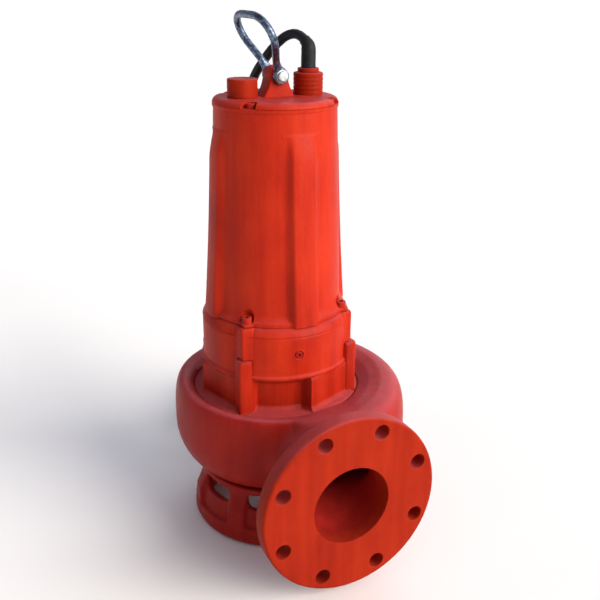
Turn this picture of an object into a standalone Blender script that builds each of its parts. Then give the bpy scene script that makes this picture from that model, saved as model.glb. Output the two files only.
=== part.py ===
# Submersible sewage pump with a flanged side outlet, standing on a ring foot.
# The pump's axis is vertical, the outlet points to -Y, and the origin is on the floor
# under the middle of the pump without its cable.
import bpy
import bmesh
import numpy as np
from math import ceil, cos, degrees, pi, radians, sin
from mathutils import Matrix, Vector

# Driving dimensions, in metres and degrees
GAP = 0.0003

FLANGE_FACE = 0.2126
FLANGE_HEIGHT = 0.1212
FLANGE_R = 0.1143
FLANGE_THICK = 0.024
FLANGE_EDGE = 0.004
BORE_R = 0.049
BOLT_CIRCLE_R = 0.09525
BOLT_HOLE_R = 0.0095
BOLT_HOLES = 8
BOLT_HOLE_SIDES = 20

FOOT_R = 0.1125
FOOT_WALL = 0.017
FOOT_TOP = 0.041
LEG_ANGLES = (-128.0, -52.0, 52.0, 128.0)
STAND_PLATE_TOP = 0.0795
STAND_PLATE_THICK = 0.009
STAND_PLATE_R = 0.103

VOLUTE_BOTTOM = STAND_PLATE_TOP + GAP
VOLUTE_SEAT = 0.1842
VOLUTE_SEAT_R = 0.1082
VOLUTE_LEDGE = 0.1895
VOLUTE_CREST_FRONT = 0.1925
VOLUTE_CREST_BACK = 0.2048
VOLUTE_WALL = 0.009
VOLUTE_FLOOR_R = 0.086
INLET_R = 0.050
TOP_OPENING_R = 0.080

ADAPTER_TOP = 0.2367
ADAPTER_R = 0.0895
ADAPTER_PAD_R = 0.0985
PAD_ANGLE = 44.0
CHAMBER_TOP = 0.3032
CHAMBER_R = 0.0950
CHAMBER_BAND_R = 0.0965
ADAPTER_BASE_R = 0.1078
COLUMN_R = 0.1074
COLUMN_TOP = 0.2560
EAR_R = 0.0990
EAR_THICK = 0.0055
COLUMN_WIDTH = 0.021
COLUMN_ANGLES = (-135.0, -45.0, 45.0, 135.0)

HOUSING_TOP = 0.5515
HOUSING_TOP_R = 0.0748
HOUSING_BASE_R = 0.0815
RIB_REACH = 0.0105
RIB_FOOT_HALF = 0.0265
RIB_FACE_HALF = 0.0165
RIB_TOP = 0.540
RIB_ANGLES = (0.0, 90.0, 180.0, 270.0)

COVER_TOP = 0.5625
COVER_EDGE = 0.007

BLIND_CAP_X = -0.0420
BLIND_CAP_R = 0.0178
BLIND_CAP_TOP = 0.5840
GLAND_X = 0.0433
GLAND_R = 0.0178
GLAND_TOP = 0.5880
COLLAR_R = 0.0128
COLLAR_TOP = 0.5930
SLEEVE_R = 0.0088
SLEEVE_TOP = 0.6140
CABLE_D = 0.0115
CORE_D = 0.0033

PIVOT_HEIGHT = 0.5860
LUG_HALF = 0.012
BAIL_LEAN = 27.0
BAIL_ROD_R = 0.0043
EYE_R = 0.0095
EYE_THICK = 0.0055
PIN_R = 0.0040

SHAFT_R = 0.0145

COIL_MID_R = 0.104
COIL_HALF_WIDTH = 0.024
COIL_THICK = 0.048
COIL_EASE = 0.010
COIL_AT = (0.100, 0.250)
TIE_THICK = 0.0018
TIE_WIDTH = 0.011
TIE_ANGLES = (15.0, 135.0, 255.0)
COIL_BASE = TIE_THICK + GAP
COIL_TOP = COIL_BASE + COIL_THICK
END_ANGLE = -52.0


# Colours are linear values of the paint, metal and rubber seen in daylight
MATERIALS = {
    "red_paint": ((0.58, 0.035, 0.018), 0.35, 0.0),
    "dark_cast_iron": ((0.045, 0.03, 0.028), 0.7, 0.3),
    "zinc_steel": ((0.55, 0.58, 0.60), 0.35, 0.9),
    "stainless": ((0.6, 0.6, 0.6), 0.3, 1.0),
    "black_rubber": ((0.012, 0.013, 0.015), 0.6, 0.0),
    "bronze": ((0.45, 0.27, 0.1), 0.4, 0.9),
}


def clear_scene():
    for thing in list(bpy.data.objects):
        bpy.data.objects.remove(thing, do_unlink=True)


def material(name):
    found = bpy.data.materials.get(name)
    if found:
        return found
    colour, roughness, metallic = MATERIALS[name]
    made = bpy.data.materials.new(name)
    made.use_nodes = True
    shader = made.node_tree.nodes["Principled BSDF"]
    shader.inputs["Base Color"].default_value = (*colour, 1.0)
    shader.inputs["Roughness"].default_value = roughness
    shader.inputs["Metallic"].default_value = metallic
    return made


def finish(mesh_bm, name, slot, smooth_angle=35.0):
    """Closes a bmesh into a named object, shaded smooth where its faces meet at less than smooth_angle."""
    bmesh.ops.remove_doubles(mesh_bm, verts=mesh_bm.verts, dist=1e-6)
    bmesh.ops.recalc_face_normals(mesh_bm, faces=mesh_bm.faces)
    mesh = bpy.data.meshes.new(name)
    mesh_bm.to_mesh(mesh)
    mesh_bm.free()
    mesh.shade_smooth()
    mesh.set_sharp_from_angle(angle=radians(smooth_angle))
    mesh.materials.append(material(slot))
    thing = bpy.data.objects.new(name, mesh)
    bpy.context.scene.collection.objects.link(thing)
    return thing


def turned_bm(profile, steps=48):
    """A closed outline of (radius, height) points, spun about Z."""
    bm = bmesh.new()
    ring = [bm.verts.new((radius, 0.0, height)) for radius, height in profile]
    edges = [bm.edges.new((ring[i], ring[i + 1])) for i in range(len(ring) - 1)]
    if min(profile[0][0], profile[-1][0]) > 1e-7:
        edges.append(bm.edges.new((ring[-1], ring[0])))
    bmesh.ops.spin(bm, geom=ring + edges, cent=(0, 0, 0), axis=(0, 0, 1), angle=2 * pi, steps=steps, use_merge=True)
    bmesh.ops.remove_doubles(bm, verts=bm.verts, dist=1e-6)
    return bm


def turned(name, profile, slot, steps=48):
    return finish(turned_bm(profile, steps), name, slot)


def rounded_edge(radius, height, size, steps=3, falling=True):
    """Points of a quarter round at the outer top corner of a turned profile, from its top to its side."""
    points = []
    for i in range(steps + 1):
        turn = pi / 2 * i / steps
        points.append((radius - size + size * sin(turn), height - size + size * cos(turn)))
    return points if falling else points[::-1]


def lofted_bm(loops):
    """Loops of the same number of points, joined one to the next and capped at both ends."""
    bm = bmesh.new()
    rings = [[bm.verts.new(point) for point in loop] for loop in loops]
    for low, high in zip(rings, rings[1:]):
        count = len(low)
        for i in range(count):
            j = (i + 1) % count
            bm.faces.new((low[i], low[j], high[j], high[i]))
    bm.faces.new(rings[0][::-1])
    bm.faces.new(rings[-1])
    return bm


def cylinder_bm(radius, low, high, at=(0.0, 0.0), steps=24):
    bm = bmesh.new()
    bmesh.ops.create_cone(
        bm, cap_ends=True, segments=steps, radius1=radius, radius2=radius, depth=high - low,
        matrix=Matrix.Translation((at[0], at[1], (low + high) / 2)),
    )
    return bm


def lying_cylinder_bm(radius, start, end, x=0.0, z=0.0, steps=24):
    """A cylinder along Y from start to end."""
    bm = bmesh.new()
    bmesh.ops.create_cone(
        bm, cap_ends=True, segments=steps, radius1=radius, radius2=radius, depth=abs(end - start),
        matrix=Matrix.Translation((x, (start + end) / 2, z)) @ Matrix.Rotation(pi / 2, 4, "X"),
    )
    return bm


def combine(target, tool, operation):
    """Applies one Boolean to target with a tool, a bmesh or an object, that is removed afterwards."""
    if isinstance(tool, bmesh.types.BMesh):
        tool = finish(tool, "tool", "red_paint")
    change = target.modifiers.new("combine", "BOOLEAN")
    change.operation = operation
    change.solver = "EXACT"
    change.object = tool
    bpy.context.view_layer.update()
    shaped = target.evaluated_get(bpy.context.evaluated_depsgraph_get())
    mesh = bpy.data.meshes.new_from_object(shaped)
    target.modifiers.clear()
    old = target.data
    target.data = mesh
    bpy.data.meshes.remove(old)
    mesh.name = target.name
    bpy.data.objects.remove(tool, do_unlink=True)
    mesh.shade_smooth()
    mesh.set_sharp_from_angle(angle=radians(35.0))


def join(target, tool):
    combine(target, tool, "UNION")


def cut(target, tool):
    combine(target, tool, "DIFFERENCE")


def polar(radius, angle):
    """A place in plan at an angle that is 0 at the outlet (-Y) and grows towards +X."""
    return radius * sin(radians(angle)), -radius * cos(radians(angle))


def spiral_turn(angle):
    """Degrees of wrap since the tongue, which stands 30 degrees to the left of the outlet."""
    return (-30.0 - angle) % 360.0


def tongue_blend(wrap):
    """Falls from 1 to 0 inside the outlet's root, where the wide end of the spiral meets its start."""
    return max(0.0, min(1.0, (345.0 - wrap) / 35.0))


def volute_radius(angle):
    """Outer radius of the casing, which grows along the spiral."""
    wrap = spiral_turn(angle)
    grown = 0.1290 + 0.0480 * (wrap / 300.0) ** 1.3
    blend = tongue_blend(wrap)
    return grown * blend + 0.1290 * (1.0 - blend)


def volute_crest(angle):
    """Height of the casing's top, lowest at the tongue and highest round the back."""
    wrap = spiral_turn(angle)
    grown = sin(pi / 2 * min(1.0, wrap / 200.0))
    blend = max(0.0, min(1.0, (345.0 - wrap) / 80.0))
    return VOLUTE_CREST_FRONT + (VOLUTE_CREST_BACK - VOLUTE_CREST_FRONT) * grown * blend


def volute_section(angle, inset=0.0):
    """Points of the casing's section, from the seat up to the ledge, over the shoulder and down the side."""
    outer = volute_radius(angle) - inset
    top = volute_crest(angle) - inset
    inner = VOLUTE_SEAT_R - inset * 0.6
    bottom = VOLUTE_BOTTOM + inset
    crest = inner + (outer - inner) * 0.50
    middle = bottom + (top - bottom) * 0.50
    floor = VOLUTE_FLOOR_R - inset * 0.5
    ledge = VOLUTE_LEDGE - inset
    points = [
        (inner, VOLUTE_SEAT - inset), (inner, ledge),
        (inner + (crest - inner) * 0.50, ledge + (top - ledge) * (0.66 - 40.0 * inset)),
    ]
    for i in range(7):
        turn = pi / 2 * i / 6
        points.append((crest + (outer - crest) * sin(turn) ** 0.62, middle + (top - middle) * cos(turn) ** 0.62))
    for i in range(1, 6):
        turn = pi / 2 * i / 5
        points.append((floor + (outer - floor) * cos(turn) ** 0.90, middle + (bottom - middle) * sin(turn) ** 0.90))
    return points


def volute_bm(inset=0.0, steps=60):
    bm = bmesh.new()
    rings = []
    for i in range(steps):
        angle = 360.0 * i / steps + inset * 300.0
        ring = []
        for radius, height in volute_section(angle, inset):
            x, y = polar(radius, angle)
            ring.append(bm.verts.new((x, y, height)))
        rings.append(ring)
    for i, ring in enumerate(rings):
        after = rings[(i + 1) % steps]
        for j in range(len(ring) - 1):
            bm.faces.new((ring[j], after[j], after[j + 1], ring[j + 1]))
    bm.faces.new([ring[0] for ring in rings])
    bm.faces.new([ring[-1] for ring in rings][::-1])
    return bm


def outlet_bm(stations, steps=32):
    """A pipe towards -Y, as ellipses of (y, x, height, half width, half height)."""
    loops = []
    for y, x, height, wide, tall in stations:
        loop = []
        for i in range(steps):
            turn = 2 * pi * i / steps
            loop.append((x + wide * cos(turn), y, height + tall * sin(turn)))
        loops.append(loop)
    return lofted_bm(loops)


def make_flange():
    """The outlet's round flange with its bolt holes, which straddle the upright centre line."""
    edge = FLANGE_EDGE
    ease = edge * 0.3
    disc = turned_bm([
        (0, 0), (FLANGE_R - edge, 0), (FLANGE_R - ease, ease), (FLANGE_R, edge), (FLANGE_R, FLANGE_THICK - edge),
        (FLANGE_R - ease, FLANGE_THICK - ease), (FLANGE_R - edge, FLANGE_THICK), (0, FLANGE_THICK),
    ], steps=56)
    place = Matrix.Translation((0, -FLANGE_FACE, FLANGE_HEIGHT)) @ Matrix.Rotation(-pi / 2, 4, "X")
    bmesh.ops.transform(disc, matrix=place, verts=disc.verts)
    flange = finish(disc, "flange", "red_paint")
    for i in range(BOLT_HOLES):
        turn = 2 * pi * (i + 0.5) / BOLT_HOLES
        x = BOLT_CIRCLE_R * sin(turn)
        z = FLANGE_HEIGHT + BOLT_CIRCLE_R * cos(turn)
        hole = (-FLANGE_FACE - 0.005, -FLANGE_FACE + FLANGE_THICK + 0.005, x, z)
        cut(flange, lying_cylinder_bm(BOLT_HOLE_R, *hole, steps=BOLT_HOLE_SIDES))
    return flange


def make_volute():
    back = -FLANGE_FACE + FLANGE_THICK
    neck = finish(outlet_bm([
        (-0.070, 0.016, 0.1330, 0.070, 0.0495),
        (-0.100, 0.014, 0.1335, 0.070, 0.0495),
        (-0.130, 0.008, 0.1320, 0.066, 0.0560),
        (-0.160, 0.002, 0.1260, 0.061, 0.0590),
        (back + 0.010, 0.000, FLANGE_HEIGHT, 0.060, 0.060),
        (back + 0.002, 0.000, FLANGE_HEIGHT, 0.063, 0.063),
        (back - 0.004, 0.000, FLANGE_HEIGHT, 0.067, 0.067),
    ]), "neck", "red_paint")
    casing = finish(volute_bm(), "volute_casing", "red_paint")
    join(casing, neck)
    cut(casing, volute_bm(inset=VOLUTE_WALL, steps=44))
    join(casing, make_flange())
    cut(casing, cylinder_bm(TOP_OPENING_R, VOLUTE_SEAT - 0.02, VOLUTE_SEAT + 0.05, steps=48))
    cut(casing, cylinder_bm(INLET_R + 0.006, VOLUTE_BOTTOM - 0.01, VOLUTE_BOTTOM + 0.02, steps=48))
    cut(casing, outlet_bm([
        (-0.072, 0.0143, 0.1333, 0.050, 0.040),
        (-0.110, 0.0102, 0.1333, 0.052, 0.041),
        (-0.150, 0.003, 0.1272, 0.050, 0.047),
        (-0.180, 0.000, FLANGE_HEIGHT, BORE_R, BORE_R),
        (-FLANGE_FACE - 0.01, 0.000, FLANGE_HEIGHT, BORE_R, BORE_R),
    ]))


def make_stand():
    inner = FOOT_R - FOOT_WALL
    stand = turned("suction_stand", [
        (inner + 0.002, 0.0), (FOOT_R - 0.002, 0.0), (FOOT_R, 0.002), (FOOT_R, FOOT_TOP - 0.004),
        (FOOT_R - 0.004, FOOT_TOP), (inner + 0.002, FOOT_TOP), (inner, FOOT_TOP - 0.002), (inner, 0.002),
    ], "red_paint", steps=48)
    low = STAND_PLATE_TOP - STAND_PLATE_THICK
    join(stand, turned_bm([
        (INLET_R + 0.006, low), (STAND_PLATE_R, low), (STAND_PLATE_R, STAND_PLATE_TOP - 0.002),
        (STAND_PLATE_R - 0.002, STAND_PLATE_TOP), (INLET_R + 0.006, STAND_PLATE_TOP),
    ], steps=48))
    for angle in LEG_ANGLES:
        loops = []
        for height, half, out in ((FOOT_TOP - 0.010, 0.020, FOOT_R - 0.004), (FOOT_TOP, 0.017, FOOT_R - 0.0045),
                                  (0.052, 0.0135, FOOT_R - 0.006), (low + 0.004, 0.0175, STAND_PLATE_R - 0.001)):
            loop = []
            for side, radius in ((-half, FOOT_R - FOOT_WALL + 0.001), (half, FOOT_R - FOOT_WALL + 0.001),
                                 (half, out - 0.002), (-half, out - 0.002)):
                x, y = polar(radius, angle)
                across = Vector((cos(radians(angle)), sin(radians(angle)), 0.0))
                spot = Vector((x, y, height)) + across * side
                loop.append(spot)
            loops.append(loop)
        join(stand, lofted_bm(loops))


def column_bm(low, high, angle, reach=COLUMN_R, width=COLUMN_WIDTH, inner=0.070):
    """An upright boss with a rounded nose, standing out of a round wall."""
    bm = bmesh.new()
    nose = width / 2
    outline = [(-nose, inner), (nose, inner), (nose, reach - nose * 0.45)]
    for i in range(1, 4):
        turn = pi * i / 4
        outline.append((nose * cos(turn), reach - nose * 0.45 + nose * 0.45 * sin(turn)))
    outline.append((-nose, reach - nose * 0.45))
    place = Matrix.Rotation(radians(angle), 4, "Z")
    base = [bm.verts.new(place @ Vector((side, -radius, low))) for side, radius in outline]
    top = [bm.verts.new(place @ Vector((side, -radius, high))) for side, radius in outline]
    count = len(outline)
    for i in range(count):
        j = (i + 1) % count
        bm.faces.new((base[i], base[j], top[j], top[i]))
    bm.faces.new(base[::-1])
    bm.faces.new(top)
    return bm


def sector_bm(low, high, inner, outer, start, end, steps=8):
    """A slice of a ring between two angles."""
    outline = []
    for i in range(steps + 1):
        outline.append(polar(outer, start + (end - start) * i / steps))
    for i in range(steps + 1):
        outline.append(polar(inner, end + (start - end) * i / steps))
    return lofted_bm([[(x, y, low) for x, y in outline], [(x, y, high) for x, y in outline]])


def make_adapter():
    low = VOLUTE_SEAT + GAP
    top = ADAPTER_TOP - GAP
    base = VOLUTE_LEDGE + 0.0010
    adapter = turned("adapter_cover", [
        (0, low), (ADAPTER_BASE_R, low), (ADAPTER_BASE_R, base - 0.0008), (ADAPTER_BASE_R - 0.0012, base),
        (ADAPTER_R + 0.013, base + 0.0003), (ADAPTER_R + 0.006, base + 0.0026), (ADAPTER_R + 0.002, base + 0.0065),
        (ADAPTER_R, base + 0.012),
        (ADAPTER_R, top - 0.009), (0.094, top - 0.006), (0.094, top + 0.001), (0, top + 0.001),
    ], "red_paint", steps=48)
    for angle in COLUMN_ANGLES:
        join(adapter, column_bm(low + 0.004, COLUMN_TOP, angle))
        join(adapter, sector_bm(low + 0.003, top - 0.0002, 0.072, ADAPTER_PAD_R, angle - PAD_ANGLE, angle + 1.0))
    cut(adapter, cylinder_bm(CHAMBER_R, top, COLUMN_TOP + 0.01, steps=48))
    cut(adapter, cylinder_bm(SHAFT_R + GAP, low - 0.01, low + 0.03, steps=24))
    return adapter


def make_chamber():
    low = ADAPTER_TOP
    top = CHAMBER_TOP
    chamber = turned("oil_chamber", [
        (0, low), (0.0955, low), (0.0965, low + 0.001), (0.0965, low + 0.005), (CHAMBER_R - 0.001, low + 0.009),
        (CHAMBER_R - 0.001, top - 0.018), (CHAMBER_BAND_R, top - 0.015), (CHAMBER_BAND_R, top - 0.0015),
        (CHAMBER_BAND_R - 0.0015, top), (0, top),
    ], "red_paint", steps=48)
    for angle in COLUMN_ANGLES:
        join(chamber, column_bm(low, top - 0.001, angle, reach=EAR_R + 0.0010))
        cut(chamber, column_bm(low - 0.010, COLUMN_TOP + GAP, angle, reach=COLUMN_R + 0.004,
                               width=COLUMN_WIDTH + 2 * GAP, inner=CHAMBER_R - 0.0014))
    x, y = polar(CHAMBER_R + 0.002, -7.0)
    spot = Matrix.Translation((x, y, 0.2705)) @ Matrix.Rotation(radians(-7.0), 4, "Z") @ Matrix.Rotation(pi / 2, 4, "X")
    pocket = bmesh.new()
    bmesh.ops.create_cone(pocket, cap_ends=True, segments=20, radius1=0.0062, radius2=0.0062, depth=0.012, matrix=spot)
    cut(chamber, pocket)
    plug = bmesh.new()
    x, y = polar(CHAMBER_R - 0.0003, -7.0)
    spot = Matrix.Translation((x, y, 0.2705)) @ Matrix.Rotation(radians(-7.0), 4, "Z") @ Matrix.Rotation(pi / 2, 4, "X")
    bmesh.ops.create_cone(plug, cap_ends=True, segments=20, radius1=0.0055, radius2=0.0055, depth=0.006, matrix=spot)
    finish(plug, "oil_plug", "red_paint")


def housing_radius(height):
    """The motor housing's draft: narrow at the top, wider to the base."""
    part = (HOUSING_TOP - height) / (HOUSING_TOP - 0.32)
    return HOUSING_TOP_R + (HOUSING_BASE_R - HOUSING_TOP_R) * part


def rib_bm(angle):
    """A broad upright rib with sloped sides, whose top dies into the round wall under a low arch."""
    loops = []
    low = CHAMBER_TOP + GAP
    heights = [low + 0.002, 0.330, 0.400, 0.450, 0.485, 0.505, 0.520, 0.531, 0.5365, RIB_TOP]
    for height in heights:
        rise = max(0.0, (RIB_TOP - height) / (RIB_TOP - 0.30))
        reach = housing_radius(height) - 0.002 + (RIB_REACH + 0.002) * rise ** 0.5
        fade = min(1.0, (RIB_TOP + 0.0008 - height) / 0.035) ** 0.5
        foot = RIB_FOOT_HALF * (0.35 + 0.65 * fade)
        face = RIB_FACE_HALF * (0.20 + 0.80 * fade)
        wall = housing_radius(height) - 0.0035
        outline = [(-foot, -0.060, height), (foot, -0.060, height), (foot, -(wall ** 2 - foot ** 2) ** 0.5, height)]
        for share, drop in ((1.0, 0.0010), (0.85, 0.0), (0.45, 0.0), (0.0, 0.0), (-0.45, 0.0), (-0.85, 0.0), (-1.0, 0.0010)):
            side = face * share
            outline.append((side, drop - (reach ** 2 - side ** 2) ** 0.5, height))
        outline.append((-foot, -(wall ** 2 - foot ** 2) ** 0.5, height))
        loops.append(outline)
    bm = lofted_bm(loops)
    bmesh.ops.transform(bm, matrix=Matrix.Rotation(radians(angle), 4, "Z"), verts=bm.verts)
    return bm


def make_housing():
    low = CHAMBER_TOP + GAP
    top = HOUSING_TOP
    rim = 0.0920
    profile = [(0, low), (rim, low), (rim + 0.0005, low + 0.001), (rim, low + 0.005)]
    for i in range(1, 4):
        turn = pi / 2 * i / 3
        profile.append((rim + (HOUSING_BASE_R - rim) * sin(turn), low + 0.005 + 0.012 * (1 - cos(turn))))
    profile += [(housing_radius(h), h) for h in (0.345, 0.400, 0.470, 0.530)]
    profile += [(HOUSING_TOP_R, top), (0, top)]
    housing = turned("motor_housing", profile, "red_paint", steps=48)
    for angle in RIB_ANGLES:
        join(housing, rib_bm(angle))
    for angle in COLUMN_ANGLES:
        join(housing, column_bm(low, low + EAR_THICK, angle, reach=EAR_R))
        cut(housing, cylinder_bm(0.0088, low + EAR_THICK, low + 0.030, polar(0.0915, angle), steps=20))
        cut(housing, cylinder_bm(0.0044, low - 0.001, low + 0.010, polar(0.0905, angle), steps=12))
        cut(housing, cylinder_bm(0.0032, top - 0.012, top + 0.001, polar(0.0665, angle), steps=12))


def cap_screw(name, angle, radius, seat, head_r, head_h, shank_r, depth):
    """A socket head screw with its shank below the seat."""
    x, y = polar(radius, angle)
    profile = [(0, seat - depth), (shank_r, seat - depth), (shank_r, seat), (head_r, seat),
               (head_r, seat + head_h - 0.0008), (head_r - 0.0008, seat + head_h),
               (head_r * 0.52, seat + head_h), (head_r * 0.52, seat + head_h * 0.5), (0, seat + head_h * 0.5)]
    bm = turned_bm(profile, steps=12)
    bmesh.ops.translate(bm, verts=bm.verts, vec=(x, y, 0))
    return finish(bm, name, "red_paint")


def make_top_cover():
    low = HOUSING_TOP + GAP
    edge = COVER_EDGE
    profile = [(0, low), (HOUSING_TOP_R, low), (HOUSING_TOP_R + 0.0004, low + 0.0006)]
    profile += rounded_edge(HOUSING_TOP_R + 0.0004, COVER_TOP, edge, 4)[::-1]
    profile += [(0, COVER_TOP)]
    cover = turned("top_cover", profile, "red_paint", steps=48)
    for angle in COLUMN_ANGLES:
        cut(cover, cylinder_bm(0.0086, low + 0.0045, COVER_TOP + 0.01, polar(0.0700, angle), steps=20))
        cut(cover, cylinder_bm(0.0032, low - 0.001, low + 0.010, polar(0.0665, angle), steps=12))


def make_screws():
    for i, angle in enumerate(COLUMN_ANGLES, 1):
        cap_screw(f"cover_screw_{i}", angle, 0.0665, HOUSING_TOP + GAP + 0.0045 + GAP, 0.0050, 0.0050, 0.0028, 0.0140)
    for i, angle in enumerate(COLUMN_ANGLES, 1):
        cap_screw(f"base_screw_{i}", angle, 0.0905, CHAMBER_TOP + GAP + EAR_THICK + GAP, 0.0062, 0.0075, 0.0040, 0.0052)
    for i in range(4):
        x, y = polar(0.082, 90.0 * i)
        top = STAND_PLATE_TOP - STAND_PLATE_THICK - GAP
        bm = cylinder_bm(0.0075, top - 0.0055, top, (x, y), steps=6)
        finish(bm, f"stand_bolt_{i + 1}", "stainless")


def make_inner_parts():
    turned("wear_ring", [
        (INLET_R, VOLUTE_BOTTOM - 0.006), (INLET_R + 0.0057, VOLUTE_BOTTOM - 0.006),
        (INLET_R + 0.0057, VOLUTE_BOTTOM + 0.010), (INLET_R, VOLUTE_BOTTOM + 0.010),
    ], "bronze", steps=48)
    hub = turned("impeller", [
        (0.0, 0.118), (0.020, 0.118), (0.026, 0.126), (0.078, 0.132), (0.078, 0.138), (0.030, 0.140),
        (0.022, 0.150), (0.0, 0.150),
    ], "dark_cast_iron", steps=48)
    for start in (0.0, 120.0, 240.0):
        outline = []
        for side in (0.0024, -0.0024):
            row = []
            for i in range(9):
                part = i / 8
                radius = 0.022 + 0.054 * part
                angle = start - 95.0 * part
                x, y = polar(radius + side * 0.4, angle + degrees(side / radius))
                row.append((x, y))
            outline += row if side > 0 else row[::-1]
        join(hub, lofted_bm([[(x, y, 0.094) for x, y in outline], [(x, y, 0.1335) for x, y in outline]]))
    turned("impeller_nut", [(0, 0.106), (0.008, 0.106), (0.0125, 0.110), (0.0125, 0.118 - GAP), (0, 0.118 - GAP)],
           "stainless", steps=24)
    turned("pump_shaft", [(0, 0.150 + GAP), (SHAFT_R, 0.150 + GAP), (SHAFT_R, VOLUTE_SEAT + 0.028),
                          (0, VOLUTE_SEAT + 0.028)], "stainless", steps=24)


def make_cap_and_gland():
    low = COVER_TOP + GAP
    cap = turned_bm([(0, low), (BLIND_CAP_R, low), *rounded_edge(BLIND_CAP_R, BLIND_CAP_TOP, 0.002, 3)[::-1],
                     (0, BLIND_CAP_TOP)], steps=28)
    bmesh.ops.translate(cap, verts=cap.verts, vec=(BLIND_CAP_X, 0, 0))
    finish(cap, "blind_cap", "red_paint")
    profile = [(0, low), (GLAND_R, low)]
    for i in range(4):
        ring = low + 0.0035 + i * 0.0050
        profile += [(GLAND_R, ring), (GLAND_R - 0.0012, ring + 0.0010), (GLAND_R, ring + 0.0024)]
    profile += [*rounded_edge(GLAND_R, GLAND_TOP, 0.0015, 2)[::-1], (0, GLAND_TOP)]
    gland = turned_bm(profile, steps=28)
    bmesh.ops.translate(gland, verts=gland.verts, vec=(GLAND_X, 0, 0))
    finish(gland, "cable_gland", "red_paint")
    collar = turned_bm([(0, GLAND_TOP + GAP), (COLLAR_R, GLAND_TOP + GAP), (COLLAR_R, COLLAR_TOP - 0.001),
                        (COLLAR_R - 0.001, COLLAR_TOP), (0, COLLAR_TOP)], steps=32)
    bmesh.ops.translate(collar, verts=collar.verts, vec=(GLAND_X, 0, 0))
    finish(collar, "gland_collar", "red_paint")
    sleeve = turned_bm([(0, COLLAR_TOP + GAP), (SLEEVE_R, COLLAR_TOP + GAP), (SLEEVE_R - 0.0016, SLEEVE_TOP - 0.0010),
                        (SLEEVE_R - 0.0022, SLEEVE_TOP), (0, SLEEVE_TOP)], steps=20)
    bmesh.ops.translate(sleeve, verts=sleeve.verts, vec=(GLAND_X, 0, 0))
    finish(sleeve, "cable_sleeve", "black_rubber")


def make_lug():
    low = COVER_TOP + GAP
    outline = [(-0.020, low), (0.020, low), (0.019, low + 0.004), (0.0115, PIVOT_HEIGHT - 0.001)]
    for i in range(7):
        turn = pi * i / 6
        outline.append((0.0110 * cos(turn), PIVOT_HEIGHT + 0.0110 * sin(turn)))
    outline += [(-0.0115, PIVOT_HEIGHT - 0.001), (-0.019, low + 0.004)]
    lug = finish(lofted_bm([[(x, -LUG_HALF, z) for x, z in outline], [(x, LUG_HALF, z) for x, z in outline]]),
                 "lifting_lug", "red_paint")
    cut(lug, lying_cylinder_bm(PIN_R + GAP, -0.05, 0.05, 0.0, PIVOT_HEIGHT, steps=24))
    bm = lying_cylinder_bm(PIN_R, -0.0185, 0.0260, 0.0, PIVOT_HEIGHT, steps=24)
    bolt = finish(bm, "bail_bolt", "zinc_steel")
    join(bolt, lying_cylinder_bm(0.0070, -0.0245, -0.0184, 0.0, PIVOT_HEIGHT, steps=6))
    nut = finish(lying_cylinder_bm(0.0070, 0.0187, 0.0250, 0.0, PIVOT_HEIGHT, steps=6), "bail_nut", "zinc_steel")
    cut(nut, lying_cylinder_bm(PIN_R + GAP, 0.01, 0.04, 0.0, PIVOT_HEIGHT, steps=24))


def make_bail():
    """A round steel bar bent to a loop, with a flattened eye on each end."""
    eye_y = LUG_HALF + 0.0008 + EYE_THICK / 2
    points = []
    knots = [(eye_y, 0.0), (eye_y + 0.001, 0.011), (0.022, 0.020), (0.0345, 0.033), (0.0455, 0.046),
             (0.0470, 0.060), (0.0380, 0.0705), (0.0200, 0.0765), (0.0, 0.0775)]
    side = [(-y, reach) for y, reach in knots]
    path = side + [(-y, reach) for y, reach in side[::-1][1:]]
    data = bpy.data.curves.new("bail_path", "CURVE")
    data.dimensions = "3D"
    spline = data.splines.new("NURBS")
    spline.points.add(len(path) - 1)
    lean = radians(BAIL_LEAN)
    for point, (y, reach) in zip(spline.points, path):
        point.co = (-reach * sin(lean), y, reach * cos(lean), 1.0)
    spline.use_endpoint_u = True
    spline.order_u = 4
    data.bevel_depth = BAIL_ROD_R
    data.bevel_resolution = 3
    data.use_fill_caps = True
    data.resolution_u = 3
    guide = bpy.data.objects.new("bail_guide", data)
    bpy.context.scene.collection.objects.link(guide)
    bpy.context.view_layer.update()
    mesh = bpy.data.meshes.new_from_object(guide.evaluated_get(bpy.context.evaluated_depsgraph_get()))
    bpy.data.objects.remove(guide, do_unlink=True)
    bm = bmesh.new()
    bm.from_mesh(mesh)
    bpy.data.meshes.remove(mesh)
    bail = finish(bm, "bail", "zinc_steel")
    for sign in (-1, 1):
        start = sign * (eye_y - EYE_THICK / 2)
        end = sign * (eye_y + EYE_THICK / 2)
        join(bail, lying_cylinder_bm(EYE_R, min(start, end), max(start, end), steps=28))
        cut(bail, lying_cylinder_bm(EYE_R + 0.01, *sorted((sign * 0.001, start)), steps=28))
        cut(bail, lying_cylinder_bm(PIN_R + GAP, *sorted((sign * 0.001, sign * 0.06)), steps=28))
        cut(bail, lying_cylinder_bm(0.0085, *sorted((end, sign * 0.06)), steps=28))
    bail.location = (0, 0, PIVOT_HEIGHT)
    return bail


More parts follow.
